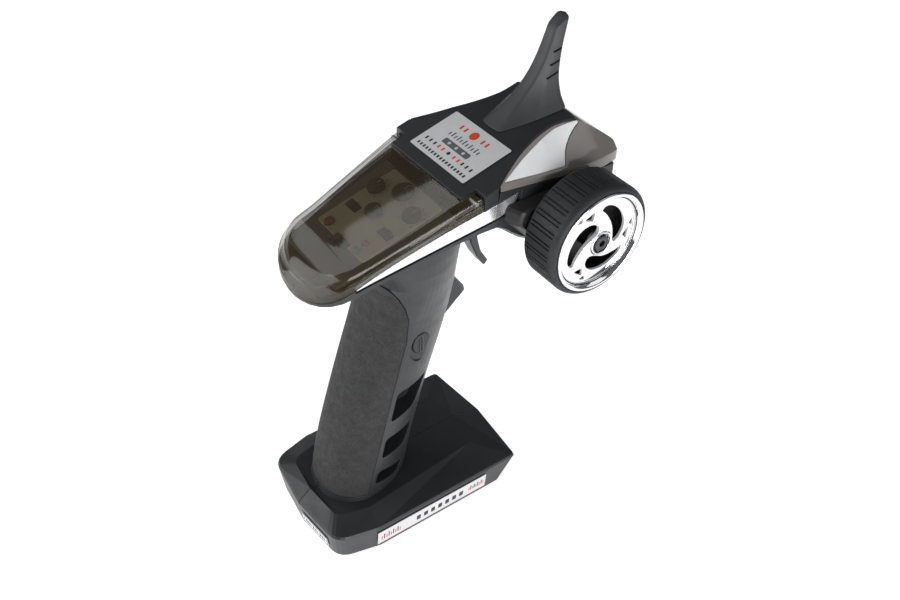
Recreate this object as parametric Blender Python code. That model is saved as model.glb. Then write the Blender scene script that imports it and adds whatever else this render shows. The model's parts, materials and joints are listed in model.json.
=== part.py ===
"""A pistol-grip radio transmitter for model cars, as an assembly of its separate pieces.

Frame: origin under the middle of the foot, +Y towards the nose, +X towards the
steering wheel, +Z up. Sizes below are in millimetres and are scaled once, when a
mesh is made.
"""

from math import atan2, cos, hypot, pi, radians, sin, sqrt

import bmesh
import bpy
from mathutils import Matrix, Vector

MM = 0.001
GAP = 0.3
WALL = 2.0

# Foot
FOOT_REAR, FOOT_FRONT = -54.5, 56.1
FOOT_HALF = 36.3
FOOT_EDGE_Z = 17.3
FOOT_TOP_Z = 22.6
FOOT_BOTTOM_SETBACK = 11.0

# Head
HEAD_REAR, HEAD_FRONT = -45.3, 103.5
HEAD_HALF = 33.0
HEAD_TAPER, TAPER_START, TAIL_START, TAIL_POWER = 0.115, 35.0, -25.0, 2.4
DECK_Z, DECK_SLOPE = 177.26, 0.2752
COVER_REAR, COVER_NOTCH, COVER_FRONT = 21.4, 28.7, 86.0
COVER_SHOULDER = 35.2
TONGUE_HALF = 25.9
STRIPE_REAR, STRIPE_FRONT = -28.8, 42.6
STRIPE_DEPTH = 2.0
STRIPE_GROOVE = 1.0

# Flip cover hinge
HINGE_Y, HINGE_Z = 25.6, 181.8
HINGE_PIN_R = 1.0
KNUCKLE_R = 2.7

# Steering wheel
WHEEL_Y, WHEEL_Z = 69.2, 162.1
WHEEL_IN, WHEEL_OUT = 41.4, 61.2
TYRE_R = 26.3
RIM_R = 23.5
SHAFT_R = 3.0
LEAD_R = 1.3

# Trigger
TRIGGER_Y, TRIGGER_Z = 47.0, 168.0
TRIGGER_HALF = 5.0
TRIGGER_PIN_R = 1.5

# Grip: height, front, rear, widest place, half width, sharpness of the front
GRIP_STATIONS = (
    (20.0, 6.4, -43.4, -25.0, 20.5, 1.25),
    (45.0, 12.2, -37.6, -20.0, 20.3, 1.25),
    (75.0, 20.2, -28.6, -11.0, 20.0, 1.2),
    (100.0, 28.0, -19.8, -3.5, 20.0, 1.1),
    (118.0, 32.0, -12.8, 2.0, 20.8, 1.0),
    (132.0, 32.6, -10.5, 5.0, 23.4, 0.9),
    (144.0, 31.6, -12.5, 6.0, 26.4, 0.8),
    (153.0, 31.4, -18.0, 5.0, 28.2, 0.7),
    (164.0, 33.0, -25.0, 4.0, 29.0, 0.6),
)
GRIP_STEPS = 14
PAD_DEPTH = 2.5

# Hand slots: rear low, rear high, width at the foot and at the top, drop of the tip, lift of the foot
HAND_SLOTS = (
    (65.8, 82.4, 15.3, 19.6, 0.0, 1.2),
    (44.2, 56.1, 15.9, 17.3, 0.8, -0.7),
    (28.5, 36.4, 15.1, 16.3, 4.9, -2.3),
)
SLOT_FLOOR = 9.5

# Battery bay under the foot
BAY_HALF_X, BAY_REAR, BAY_FRONT = 21.0, -20.0, 42.0
DOOR_THICK = 1.7
PAD_R = 4.0

# Labels on the foot
SIDE_LABEL_Y, SIDE_LABEL_Z = (-31.0, 34.0), (4.3, 13.9)
REAR_LABEL_X, REAR_LABEL_Z = (1.6, 23.0), (4.4, 11.2)
LABEL_THICK = 0.3

# Shell screws, from the left: surface, y, z of each head
SCREW_R, SCREW_HEAD_R = 1.1, 2.3
SHELL_SCREWS = {
    "shell_screw_foot_rear": (-19.0, -38.0, 12.0),
    "shell_screw_foot_front": (-31.0, 44.5, 9.0),
    "shell_screw_grip_low": (-15.0, 2.0, 37.0),
    "shell_screw_grip_high": (-13.0, 17.0, 88.0),
}
PADS = {
    "foot_pad_rear_left": (-24.0, -37.0),
    "foot_pad_rear_right": (24.0, -37.0),
    "foot_pad_front_left": (-27.0, 32.0),
    "foot_pad_front_right": (27.0, 32.0),
}


# ---------------------------------------------------------------- materials


def material(name, colour, roughness, metallic=0.0, alpha=1.0):
    made = bpy.data.materials.get(name)
    if made:
        return made
    made = bpy.data.materials.new(name)
    made.use_nodes = True
    shader = made.node_tree.nodes["Principled BSDF"]
    shader.inputs["Base Color"].default_value = (*colour, 1.0)
    shader.inputs["Roughness"].default_value = roughness
    shader.inputs["Metallic"].default_value = metallic
    shader.inputs["Alpha"].default_value = alpha
    made.diffuse_color = (*colour, alpha)
    made.roughness = roughness
    made.metallic = metallic
    return made


def shell_plastic():
    return material("shell_plastic", (0.035, 0.036, 0.038), 0.45)


def smoked_plastic():
    return material("smoked_plastic", (0.09, 0.085, 0.07), 0.08, alpha=0.45)


def nose_plastic():
    return material("nose_plastic", (0.14, 0.13, 0.13), 0.2)


def trim_silver():
    return material("trim_silver", (0.86, 0.87, 0.88), 0.12, 0.6)


def rubber():
    return material("rubber", (0.02, 0.02, 0.021), 0.85)


def chrome():
    return material("chrome", (0.9, 0.9, 0.9), 0.06, 1.0)


def steel():
    return material("steel", (0.5, 0.5, 0.5), 0.3, 1.0)


def brass():
    return material("brass", (0.6, 0.42, 0.16), 0.3, 1.0)


def board_green():
    return material("board_green", (0.02, 0.14, 0.05), 0.5)


def plate_silver():
    return material("plate_silver", (0.42, 0.42, 0.38), 0.4, 0.3)


def knob_black():
    return material("knob_black", (0.012, 0.012, 0.012), 0.5)


def label_white():
    return material("label_white", (0.8, 0.8, 0.8), 0.4)


def lamp(name, colour):
    return material(name, colour, 0.2)


# ---------------------------------------------------------------- shape tools


def finish(name, bm, made_of, pivot=None, sharp=32.0):
    """Turns a mesh in millimetres into an object whose origin is the pivot."""
    origin = Vector(pivot or (0.0, 0.0, 0.0))
    bmesh.ops.recalc_face_normals(bm, faces=bm.faces)
    bmesh.ops.translate(bm, verts=bm.verts, vec=-origin)
    bmesh.ops.scale(bm, verts=bm.verts, vec=(MM, MM, MM))
    mesh = bpy.data.meshes.new(name)
    bm.to_mesh(mesh)
    bm.free()
    mesh.shade_smooth()
    mesh.set_sharp_from_angle(angle=radians(sharp))
    made = bpy.data.objects.new(name, mesh)
    made.location = origin * MM
    bpy.context.scene.collection.objects.link(made)
    if made_of:
        mesh.materials.append(made_of)
    return made


def cutter(name, bm):
    made = finish(name, bm, None)
    made.hide_render = True
    made.display_type = "WIRE"
    return made


def boolean(target, other, operation="DIFFERENCE"):
    step = target.modifiers.new(operation.lower() + "_" + other.name, "BOOLEAN")
    step.object = other
    step.operation = operation
    step.solver = "EXACT"


def loft(rings):
    """One closed body through rings that hold the same number of points."""
    bm = bmesh.new()
    made = [[bm.verts.new(p) for p in ring] for ring in rings]
    for low, high in zip(made, made[1:]):
        for i in range(len(low)):
            j = (i + 1) % len(low)
            bm.faces.new((low[i], low[j], high[j], high[i]))
    bm.faces.new(made[0][::-1])
    bm.faces.new(made[-1])
    return bm


def prism(axis, outline, low, high):
    """The outline, in the plane across the axis, carried from low to high."""
    place = {
        "X": lambda a, b, t: Vector((t, a, b)),
        "Y": lambda a, b, t: Vector((a, t, b)),
        "Z": lambda a, b, t: Vector((a, b, t)),
    }[axis]
    return loft([[place(a, b, t) for a, b in outline] for t in (low, high)])


def box(low, high, radius=0.0, segments=2):
    outline = [(low[0], low[1]), (high[0], low[1]), (high[0], high[1]), (low[0], high[1])]
    bm = prism("Z", outline, low[2], high[2])
    if radius:
        bmesh.ops.bevel(
            bm, geom=bm.edges[:], offset=radius, segments=segments, affect="EDGES", profile=0.5
        )
    return bm


def turned(profile, centre, axis, steps=24, closed=False):
    """A profile of (along, radius) turned about an axis through the centre.

    A closed profile makes a ring. An open one starts and ends on the axis.
    """
    along = Vector(axis).normalized()
    side = along.orthogonal().normalized()
    up = along.cross(side)
    centre = Vector(centre)
    bm = bmesh.new()
    rings = []
    for distance, radius in profile:
        if radius < 1e-6:
            rings.append([bm.verts.new(centre + along * distance)])
            continue
        ring = []
        for i in range(steps):
            angle = 2 * pi * i / steps
            out = side * cos(angle) + up * sin(angle)
            ring.append(bm.verts.new(centre + along * distance + out * radius))
        rings.append(ring)
    pairs = list(zip(rings, rings[1:]))
    if closed:
        pairs.append((rings[-1], rings[0]))
    for low, high in pairs:
        for i in range(steps):
            j = (i + 1) % steps
            if len(low) == 1:
                bm.faces.new((low[0], high[j], high[i]))
            elif len(high) == 1:
                bm.faces.new((low[i], low[j], high[0]))
            else:
                bm.faces.new((low[i], low[j], high[j], high[i]))
    return bm


def rod(centre, axis, low, high, radius, steps=20, chamfer=0.0):
    profile = [(low, 0.0), (low, radius - chamfer)]
    if chamfer:
        profile += [(low + chamfer, radius), (high - chamfer, radius)]
    profile += [(high, radius - chamfer), (high, 0.0)]
    return turned(profile, centre, axis, steps)


def tube(centre, axis, low, high, inner, outer, steps=24):
    profile = [(low, inner), (low, outer), (high, outer), (high, inner)]
    return turned(profile, centre, axis, steps, closed=True)


def rounded(corners, steps=4):
    """A polygon of (a, b, radius) corners with each corner rounded to its radius."""
    outline = []
    count = len(corners)
    for i, (a, b, radius) in enumerate(corners):
        here = Vector((a, b))
        before = (Vector(corners[i - 1][:2]) - here).normalized()
        after = (Vector(corners[(i + 1) % count][:2]) - here).normalized()
        if radius <= 0:
            outline.append((a, b))
            continue
        half = before.angle(after) / 2
        reach = radius / max(0.05, abs(sin(half) / cos(half)))
        start = here + before * reach
        end = here + after * reach
        for k in range(steps + 1):
            t = k / steps
            p = start * (1 - t) ** 2 + here * 2 * t * (1 - t) + end * t * t
            outline.append((p.x, p.y))
    return outline


def coil(name, centre, axis, radius, wire, pitch, turns, made_of):
    """A coil spring: a round wire swept along a helix with closed ends."""
    along = Vector(axis).normalized()
    side = along.orthogonal().normalized()
    up = along.cross(side)
    steps = int(turns * 11)
    rings = []
    for i in range(steps + 1):
        angle = 2 * pi * turns * i / steps
        out = side * cos(angle) + up * sin(angle)
        middle = Vector(centre) + out * radius + along * pitch * turns * i / steps
        rings.append([middle + (out * cos(a) + along * sin(a)) * wire for a in (k * 2 * pi / 5 for k in range(5))])
    return finish(name, loft(rings), made_of, sharp=60)


# ---------------------------------------------------------------- head surfaces


def clamp(value, low=0.0, high=1.0):
    return max(low, min(high, value))


def blend_curve(points, at):
    """A smooth curve through (place, value) points."""
    if at <= points[0][0]:
        return points[0][1]
    for i, ((a, u), (b, v)) in enumerate(zip(points, points[1:])):
        if at <= b:
            left = points[i - 1] if i else (a, u)
            right = points[i + 2] if i + 2 < len(points) else (b, v)
            slope_a = (v - left[1]) / (b - left[0])
            slope_b = (right[1] - u) / (right[0] - a)
            t = (at - a) / (b - a)
            span = b - a
            return (
                u * (2 * t**3 - 3 * t**2 + 1)
                + slope_a * span * (t**3 - 2 * t**2 + t)
                + v * (3 * t**2 - 2 * t**3)
                + slope_b * span * (t**3 - t**2)
            )
    return points[-1][1]


def head_half(y):
    """Half width of the head at the trim stripe: straight sides that close in to a round tail."""
    side = HEAD_HALF - HEAD_TAPER * max(0.0, TAPER_START - max(y, TAIL_START))
    if y >= TAIL_START:
        return side
    reach = clamp((TAIL_START - y) / (TAIL_START - HEAD_REAR))
    return side * (1 - reach**TAIL_POWER) ** (1 / TAIL_POWER)


def deck_z(y):
    """Height of the deck on the centre line."""
    if y <= 50:
        return DECK_Z + DECK_SLOPE * y
    past = min(y, COVER_FRONT) - 50
    flat = DECK_SLOPE * past - 0.002 * past * past
    return DECK_Z + DECK_SLOPE * 50 + flat


def deck_crown(x, y):
    """How far the deck has dropped at x from its centre line."""
    return 2.2 * clamp((y - 53) / 33) * (x / 20) ** 2


def flap_z(y):
    """Height of the flip cover's top on the centre line."""
    return DECK_Z + DECK_SLOPE * y - 0.02 * max(0.0, -27 - y) ** 2


def lip_z(y):
    """Lower edge of the head's side."""
    return 160.4 + 0.219 * y - 0.0045 * max(0.0, -20 - y) ** 2


def stripe_low(y):
    return 164.5 + 0.219 * y


def stripe_high(y):
    return 169.2 + 0.3307 * y - 0.00142 * y * y


def skirt_z(y):
    """Lower edge of the flip cover's skirt."""
    if y > STRIPE_REAR:
        return stripe_high(y) + GAP
    rise = clamp((y - HEAD_REAR) / (STRIPE_REAR - HEAD_REAR))
    return lip_z(y) + 2.0 + 2.85 * rise


def border_half(y):
    """Half width of the top cover, between the two nose wings."""
    if y <= COVER_SHOULDER:
        return HEAD_HALF
    if y <= 75:
        return 17.7 + 15.3 * ((75 - y) / (75 - COVER_SHOULDER)) ** 1.6
    return 17.7 + 2.3 * ((y - 75) / 11) ** 1.5


def border_z(y):
    return deck_z(y) - deck_crown(border_half(y), y)


def facet_low(y):
    """Lower edge of the nose wing, at the head's full half width."""
    return 186.7 - 0.125 * (min(y, 80.0) - COVER_SHOULDER)


def side_low(y):
    """Lower edge of the head's side: a lip at the rear, the wheel body's belly ahead of the trigger."""
    if y < 10:
        return lip_z(y)
    points = ((10, 162.6), (19, 164.5), (28, 165.9), (36, 166.2), (49, 156.4), (60, 151.5), (84, 151.5), (94, 157.0), (100, 166.0))
    return blend_curve(points, y)


def nose_low(y):
    """Lower edge of the nose cap's side."""
    return facet_low(y) - 2.0 - 2.6 * clamp((y - 78) / 14)


def rim_z(y):
    """Top edge of the shells, which the flip cover, the top cover and the nose cap stand over."""
    if y <= STRIPE_REAR:
        return skirt_z(y) - GAP
    if y <= COVER_SHOULDER + 2 * GAP:
        return stripe_high(y) - GAP
    return nose_low(y) - GAP


def mirrored(points):
    """The half section at +X, bottom to top, with its mirror image at -X."""
    return [Vector(p) for p in points] + [Vector((-x, y, z)) for x, y, z in points[::-1]]


# ---------------------------------------------------------------- foot and grip


def foot_outline(grow, front_shift=0.0, tip=3.2):
    half = FOOT_HALF + grow
    rear = FOOT_REAR - grow
    front = FOOT_FRONT - tip + grow - front_shift
    corners = [
        (0, rear, 0),
        (half - 5.0, rear + 3.2, 10.0),
        (half, rear + 24.0, 6.0),
        (half, front, 2.5),
        (0, front + tip, 0),
        (-half, front, 2.5),
        (-half, rear + 24.0, 6.0),
        (-half + 5.0, rear + 3.2, 10.0),
    ]
    return rounded(corners, 5)


def foot_rings(grow=0.0):
    low = 0.0 - grow
    edge = FOOT_EDGE_Z + grow * 0.6
    top = FOOT_TOP_Z + grow
    bottom = foot_outline(grow - 2.2, FOOT_BOTTOM_SETBACK - 2.2, 2.0)
    rim = foot_outline(grow, 0.0)
    rings = [
        [Vector((x * 0.985, y, low)) for x, y in bottom],
        [Vector((x, y, low + 1.4)) for x, y in foot_outline(grow - 1.6, FOOT_BOTTOM_SETBACK - 3.2, 2.2)],
        [Vector((x, y, edge - 1.2)) for x, y in rim],
        [Vector((x * 0.985, y * 0.988, edge)) for x, y in rim],
    ]
    plateau = []
    for x, y in rim:
        ahead = clamp((y - 20) / 30)
        level = top - 1.3 * (abs(x) / FOOT_HALF)
        plateau.append(Vector((x * (0.70 - 0.16 * ahead), -22 + (y + 22) * 0.78, level)))
    rings.append(plateau)
    return rings


def power(value, exponent):
    return (1 if value >= 0 else -1) * abs(value) ** exponent


def grip_values(z):
    columns = list(zip(*GRIP_STATIONS))
    return [blend_curve(list(zip(columns[0], column)), z) for column in columns[1:]]


def grip_ring(z, inset=0.0, front_inset=None):
    front, rear, middle, half, sharp = grip_values(z)
    ahead = front - middle - (inset if front_inset is None else front_inset)
    behind = middle - rear - inset
    ring = []
    for i in range(4 * GRIP_STEPS):
        angle = pi / 2 * i / GRIP_STEPS
        exponent = sharp if cos(angle) > 0 else 0.88
        x = (half - inset) * power(sin(angle), exponent)
        y = middle + (ahead if cos(angle) > 0 else behind) * cos(angle)
        ring.append(Vector((x, y, z)))
    return ring


def grip_body(levels, inset=0.0, front_inset=None):
    return loft([grip_ring(z, inset, front_inset) for z in levels])


def grip_levels(low, high, step=11.0):
    count = max(2, round((high - low) / step))
    return [low + (high - low) * i / count for i in range(count + 1)]


def pad_edge(z):
    """Where the back pad ends on the grip's side."""
    return -33.0 + 0.275 * z


def pad_region(grow=0.0):
    """The part of the grip behind the pad's edge, as a prism along X."""
    low, high = 24.0 - grow, 147.0 + grow
    outline = [(-70.0, low), (pad_edge(low) + grow, low)]
    for z in (50.0, 80.0, 112.0):
        outline.append((pad_edge(z) + grow, z))
    top, reach = 117.0, pad_edge(117.0) + grow
    for i in range(1, 7):
        angle = pi / 2 * i / 6
        outline.append((reach - 16.0 + 16.0 * cos(angle), top + (high - top) * sin(angle)))
    outline.append((-70.0, high))
    return prism("X", outline, -45, 45)



def slot_outline(low, high, foot_width, top_width, drop, lift):
    """One hand slot of the grip seen from the side: a leaning leaf beside the pad."""
    rear_low = pad_edge(low) + 3.2
    rear_high = pad_edge(high) + 3.0
    return rounded(
        [
            (rear_low, low, 1.5),
            (rear_low + foot_width, low + lift, 5.0),
            (rear_high + top_width, high - drop, 1.0),
            (rear_high, high, 3.0),
        ],
        3,
    )


# ---------------------------------------------------------------- shells


def belly_drop(y):
    """How far the middle of the head's underside hangs below its side edge."""
    return 3.2 * clamp((y - HEAD_REAR) / 12) + 0.4


def head_section(y):
    w = head_half(y)
    low = side_low(y)
    ahead = clamp((y - 36) / 14)
    floor = low - belly_drop(y)
    top = rim_z(y)
    return mirrored([(0.5 * w, y, floor), (w - 2.0, y, low - 0.2 - 0.8 * ahead), (w, y, low + 1.0), (w, y, top)])


def head_stations():
    rear = [HEAD_REAR + 0.2, -44.6, -43.4, -41.4, -38.5, -34.5, STRIPE_REAR]
    middle = [-22.0, -12.0, -2.0, 8.0, 18.0, 28.0, COVER_SHOULDER + GAP]
    front = [COVER_SHOULDER + 1.0, 40.0, 44.0, 49.0, 54.0, 60.0, 72.0, 84.0, 90.0, 95.0, 99.0]
    return rear + middle + front


def head_body():
    rings = [head_section(y) for y in head_stations()]
    nose = [p.copy() for p in rings[-1]]
    for p in nose:
        p.x *= 0.86
        p.y += 2.0
    return loft(rings + [nose])


def head_hollow():
    """Everything inside the head's side walls, open upwards."""
    rings = []
    for y in (-40.5, -37.0, -33.0, -28.0, -15.0, 0.0, 15.0, 30.0, 38.0, 46.0, 52.0, 60.0, 72.0, 84.0, 92.0, 96.0):
        half = head_half(y) - STRIPE_DEPTH - WALL - GAP
        edge = side_low(y) + WALL
        floor = edge - belly_drop(y)
        rings.append(mirrored([(0.5 * half, y, floor), (half, y, edge), (half, y, 240)]))
    return loft(rings)


def stripe_body(side, grow=0.0):
    """The trim stripe: a wedge that widens towards the nose, with a slanted, chamfered front end.

    With grow it is the stripe's pocket, which leaves a groove under the stripe.
    """
    rings = []
    stations = 10
    for i in range(stations + 1):
        at_end = i == stations
        t = min(i, stations - 1) / (stations - 1)
        y = STRIPE_REAR - grow + (STRIPE_FRONT - STRIPE_REAR + 2 * grow) * t + (3.4 if at_end else 0.0)
        slant = 1.6 if i >= stations - 1 else 0.0
        w = head_half(y)
        low, high = stripe_low(y) - grow, max(stripe_high(y), stripe_low(y) + 0.2) + grow
        low -= STRIPE_GROOVE if grow else 0.0
        inner = w - STRIPE_DEPTH - grow
        outer = w + 0.1 + 4 * grow - (1.7 if at_end and not grow else 0.0)
        section = [(inner, y, low), (outer, y, low), (outer, y + slant, high), (inner, y + slant, high)]
        rings.append([Vector((side * x, b, c)) for x, b, c in section])
    return loft(rings)


def pad_body(grow=0.0):
    """The rubber back of the grip, or with grow the pocket that it lies in."""
    skin = grip_body(grip_levels(18.0, 160.0), -3.0 if grow else 0.0)
    body = finish("pad_pocket" if grow else "grip_pad", skin, None if grow else rubber())
    region = cutter("pad_region_grown" if grow else "pad_region", pad_region(grow))
    core = cutter(
        "pad_core_grown" if grow else "pad_core",
        grip_body(grip_levels(10.0, 168.0), PAD_DEPTH + grow),
    )
    boolean(body, region, "INTERSECT")
    boolean(body, core)
    if grow:
        body.hide_render = True
        body.display_type = "WIRE"
    return body


def cable_channel():
    """The channel for the leads, up the middle of the grip."""
    rings = []
    for z in (15.0, 45.0, 75.0, 100.0, 120.0, 140.0, 172.0):
        rear = grip_values(min(z, 150.0))[1] + 6.0
        front = rear + 20.0
        rings.append([Vector(p) for p in ((8, rear, z), (8, front, z), (-8, front, z), (-8, rear, z))])
    return loft(rings)


def finger_hook():
    """The fixed spur between the trigger and the grip."""
    outline = rounded(
        [(24.0, 98.0, 1), (30.0, 104.6, 6), (37.5, 109.4, 8), (41.6, 111.6, 1.2), (40.6, 115.2, 1.5), (35.0, 122.8, 8),
         (30.0, 127.0, 3), (24.0, 120.0, 1)], 3
    )
    rings = []
    for x, shrink in ((-5.6, 0.5), (-4.4, 0.12), (4.4, 0.12), (5.6, 0.5)):
        ring = []
        for y, z in outline:
            pull = shrink * clamp((y - 31) / 10)
            ring.append(Vector((x, y - pull * 6.0, z)))
        rings.append(ring)
    return loft(rings)


def shell_cuts():
    """What is cut from the joined foot, grip and head, in order."""
    cuts = []
    cuts.append(cutter("foot_hollow", loft(foot_rings(-2.5))))
    cuts.append(cutter("head_hollow", head_hollow()))
    cuts.append(cutter("cable_channel", cable_channel()))
    cuts.append(pad_body(GAP))
    for side in (1, -1):
        tag = "right" if side > 0 else "left"
        cuts.append(cutter("stripe_pocket_" + tag, stripe_body(side, GAP)))
        for i, slot in enumerate(HAND_SLOTS):
            low, high = sorted((side * SLOT_FLOOR, side * 40.0))
            cuts.append(cutter(f"hand_slot_{tag}_{i + 1}", prism("X", slot_outline(*slot), low, high)))
    bay = box((-BAY_HALF_X + 3, BAY_REAR + 3, -3), (BAY_HALF_X - 3, BAY_FRONT - 4, 8))
    cuts.append(cutter("battery_bay", bay))
    door = box((-BAY_HALF_X - GAP, BAY_REAR - GAP, -3), (BAY_HALF_X + GAP, 70, DOOR_THICK + GAP))
    cuts.append(cutter("door_slot", door))
    for name, (x, y) in PADS.items():
        cuts.append(cutter(name + "_pocket", rod((x, y, 0), (0, 0, 1), -1, 0.9, PAD_R + GAP, 20)))
    opening = box((-TRIGGER_HALF - 1.4, 36.5, 140), (TRIGGER_HALF + 1.4, 57, 175))
    cuts.append(cutter("trigger_opening", opening))
    cuts.append(cutter("shaft_opening", rod((0, WHEEL_Y, WHEEL_Z), (1, 0, 0), 20, 60, 5.2 + GAP)))
    button = prism("X", button_outline(GAP), BUTTON_SEAT, 40)
    cuts.append(cutter("button_opening", button))
    middle = BUTTON_Y - 2.6
    seat = box((4, middle - 4.4, BUTTON_Z - 4.4), (BUTTON_SEAT + 0.5, middle + 4.4, BUTTON_Z + 4.4))
    cuts.append(cutter("button_seat", seat))
    cuts.append(cutter("button_dimple_right", button_dimple()))
    socket = box((-45, -34.6, 5.4), (-28, -25.4, 10.6))
    cuts.append(cutter("socket_opening", socket))
    for name, place in SHELL_SCREWS.items():
        cuts.append(cutter(name + "_bore", screw_body(place, GAP)))
    return cuts


def screw_body(place, grow=0.0):
    """A shell screw across the seam, or with grow the bore that it lies in."""
    surface, y, z = place
    far = 8.0 + grow
    head = surface - (20.0 if grow else 0.0)
    profile = [
        (far, 0), (far, SCREW_R + grow), (surface + 1.8 + grow, SCREW_R + grow), (surface + 1.8 + grow, SCREW_HEAD_R + grow),
        (head, SCREW_HEAD_R + grow), (head, 0),
    ]
    return turned(profile[::-1], (0, y, z), (1, 0, 0), 14)


def shell_screws():
    for name, place in SHELL_SCREWS.items():
        screw = finish(name, screw_body(place), steel())
        surface, y, z = place
        for turn in (0.0, pi / 2):
            bar = box((surface - 1.0, -0.35, -1.5), (surface + 0.8, 0.35, 1.5))
            bmesh.ops.rotate(bar, verts=bar.verts, matrix=Matrix.Rotation(turn, 3, "X"))
            bmesh.ops.translate(bar, verts=bar.verts, vec=(0, y, z))
            boolean(screw, cutter(f"{name}_cross_{turn:.0f}", bar))


def trigger_post(side):
    """The post that carries one end of the trigger's pin."""
    near, far = (7.2, 10.6) if side > 0 else (9.6, 13.0)
    low, high = sorted((side * near, side * far))
    return box((low, TRIGGER_Y - 3.4, 157.0), (high, TRIGGER_Y + 3.4, TRIGGER_Z + 3.6))


def shells():
    """The two half shells, which meet on the centre seam."""
    grip = cutter("grip_body", grip_body([14.0] + grip_levels(20.0, 164.0, 7.0)))
    head = cutter("head_body", head_body())
    hook = cutter("finger_hook", finger_hook())
    cuts = shell_cuts()
    for side, name in ((1, "right_shell"), (-1, "left_shell")):
        shell = finish(name, loft(foot_rings()), shell_plastic())
        for solid in (grip, head, hook):
            boolean(shell, solid, "UNION")
        for cut in cuts:
            if ("_left" in cut.name and side > 0) or ("_right" in cut.name and side < 0):
                continue
            boolean(shell, cut)
        post = trigger_post(side)
        boolean(shell, cutter(name + "_post", post), "UNION")
        bore = rod((0, TRIGGER_Y, TRIGGER_Z), (1, 0, 0), -14, 14, TRIGGER_PIN_R + GAP, 16)
        boolean(shell, cutter(name + "_bore", bore))
        low, high = sorted((side * GAP / 2, side * 80.0))
        half = cutter(name + "_side", box((low, -90, -20), (high, 140, 260)))
        boolean(shell, half, "INTERSECT")


# ---------------------------------------------------------------- covers and trim


def cover_section(y, thick=0.0):
    half = border_half(y) - thick - (GAP / 2 if y > COVER_SHOULDER else 0)
    low = stripe_high(y) + GAP if y <= COVER_SHOULDER else border_z(y) - 2.5 - 2.5 * clamp((y - 43) / 3)
    if thick:
        low = 150.0
    level = [(half, y, low)]
    for part in (1.0, 0.55, 0.2):
        x = half * part
        level.append((x, y, deck_z(y) - deck_crown(x, y) - thick))
    return mirrored(level)


def top_cover():
    stations = [COVER_REAR, COVER_NOTCH, 32.0, COVER_SHOULDER, COVER_SHOULDER + 0.4, 38.5, 41.0, 44.0, 48.0, 53.0, 59.0, 66.0, 75.0, 81.0, COVER_FRONT]
    cover = finish("top_cover", loft([cover_section(y) for y in stations]), shell_plastic())
    hollow = [cover_section(y, WALL) for y in [COVER_REAR - 4] + stations[1:-1] + [COVER_FRONT - WALL]]
    boolean(cover, cutter("cover_hollow", loft(hollow)))
    for side in (1, -1):
        low, high = sorted((side * TONGUE_HALF, side * (HEAD_HALF + 5)))
        notch = box((low, COVER_REAR - 5, 150), (high, COVER_NOTCH, 200))
        boolean(cover, cutter(f"cover_notch_{side}", notch))
        low, high = sorted((side * (TONGUE_HALF - 3.4), side * (TONGUE_HALF - 0.2)))
        lug = box((low, HINGE_Y - 3.0, HINGE_Z - 3.2), (high, HINGE_Y + 3.6, HINGE_Z + 1.0))
        boolean(cover, cutter(f"cover_lug_{side}", lug), "UNION")
    pin_hole = rod((0, HINGE_Y, HINGE_Z), (1, 0, 0), -45, 45, HINGE_PIN_R + GAP, 16)
    boolean(cover, cutter("pin_hole", pin_hole))
    socket = prism("Z", fin_outline(0.0, 0.955), 180, 215)
    boolean(cover, cutter("fin_opening", socket))
    return cover


def flap_edge(front):
    """The flip cover's outline in plan, as (place, outward direction), from the front right corner to the tail."""
    places = [(y, None) for y in (front, 14.0, 6.0, -4.0, -14.0, -20.0)]
    places += [(None, pi / 2 * i / 7) for i in range(8)]
    edge = []
    for y, angle in places:
        if angle is not None:
            depth = TAIL_START - HEAD_REAR
            y = TAIL_START - depth * power(sin(angle), 2 / TAIL_POWER)
            half = head_half(TAIL_START)
            x = half * power(cos(angle), 2 / TAIL_POWER)
            lean = 2 - 2 / TAIL_POWER
            out = Vector((power(cos(angle), lean) / half, -power(sin(angle), lean) / depth)).normalized()
        else:
            x, out = head_half(y), Vector((1, -HEAD_TAPER if y < front else 0.0)).normalized()
        edge.append((Vector((x, y)), out))
    return edge


def flap_crease(y):
    """How far the top crease stands in from the skirt."""
    return 0.9 + 0.8 * clamp((25 - y) / 45) + 1.3 * clamp((TAIL_START - y) / 16)


def flap_top(y, inset):
    """Height of the flip cover's crowned top at an inset from its crease."""
    drop = 1.2 + 3.4 * clamp((25 - y) / 45)
    return flap_z(y) - drop * clamp(1 - inset / 12) ** 2


def flap_ring(front, inset, height, spine=0.0):
    """One closed ring of the flip cover. Spine draws the ring in towards the centre line."""
    right = []
    for place, out in flap_edge(front):
        p = place - out * inset(place.y)
        p = p.lerp(Vector((0, max(p.y, -24.0))), spine)
        right.append(Vector((max(0.0, p.x), p.y, height(p.y))))
    return right + [Vector((-p.x, p.y, p.z)) for p in right[-2::-1]]


def flap_rings(front, thick=0.0):
    """The rings from the skirt's lower edge up over the crease to the spine."""
    def step_z(y):
        return skirt_z(y) + 0.6 * (flap_top(y, 0.0) - skirt_z(y))

    spans = (0.5, 0.94)
    rings = [
        flap_ring(front, lambda y: thick + 3.0, lambda y: 129.0 if thick else skirt_z(y)),
        flap_ring(front, lambda y: thick, lambda y: 130.0 if thick else skirt_z(y)),
        flap_ring(front, lambda y: thick, lambda y: step_z(y) - thick),
        flap_ring(front, lambda y: thick + 0.45, lambda y: step_z(y) + 0.2 - thick),
        flap_ring(front, lambda y: thick + flap_crease(y) - 0.1, lambda y: flap_top(y, 0.0) - 0.45 - thick),
    ]
    for inset in (0.7, 3.2, 7.0, 11.0):
        rings.append(
            flap_ring(front, lambda y: thick + flap_crease(y) + inset, lambda y: flap_top(y, inset) - thick)
        )
    for spine in spans:
        rings.append(flap_ring(front, lambda y: thick + flap_crease(y) + 11.0, lambda y: flap_z(y) + 0.14 * spine - thick, spine))
    return rings


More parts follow.
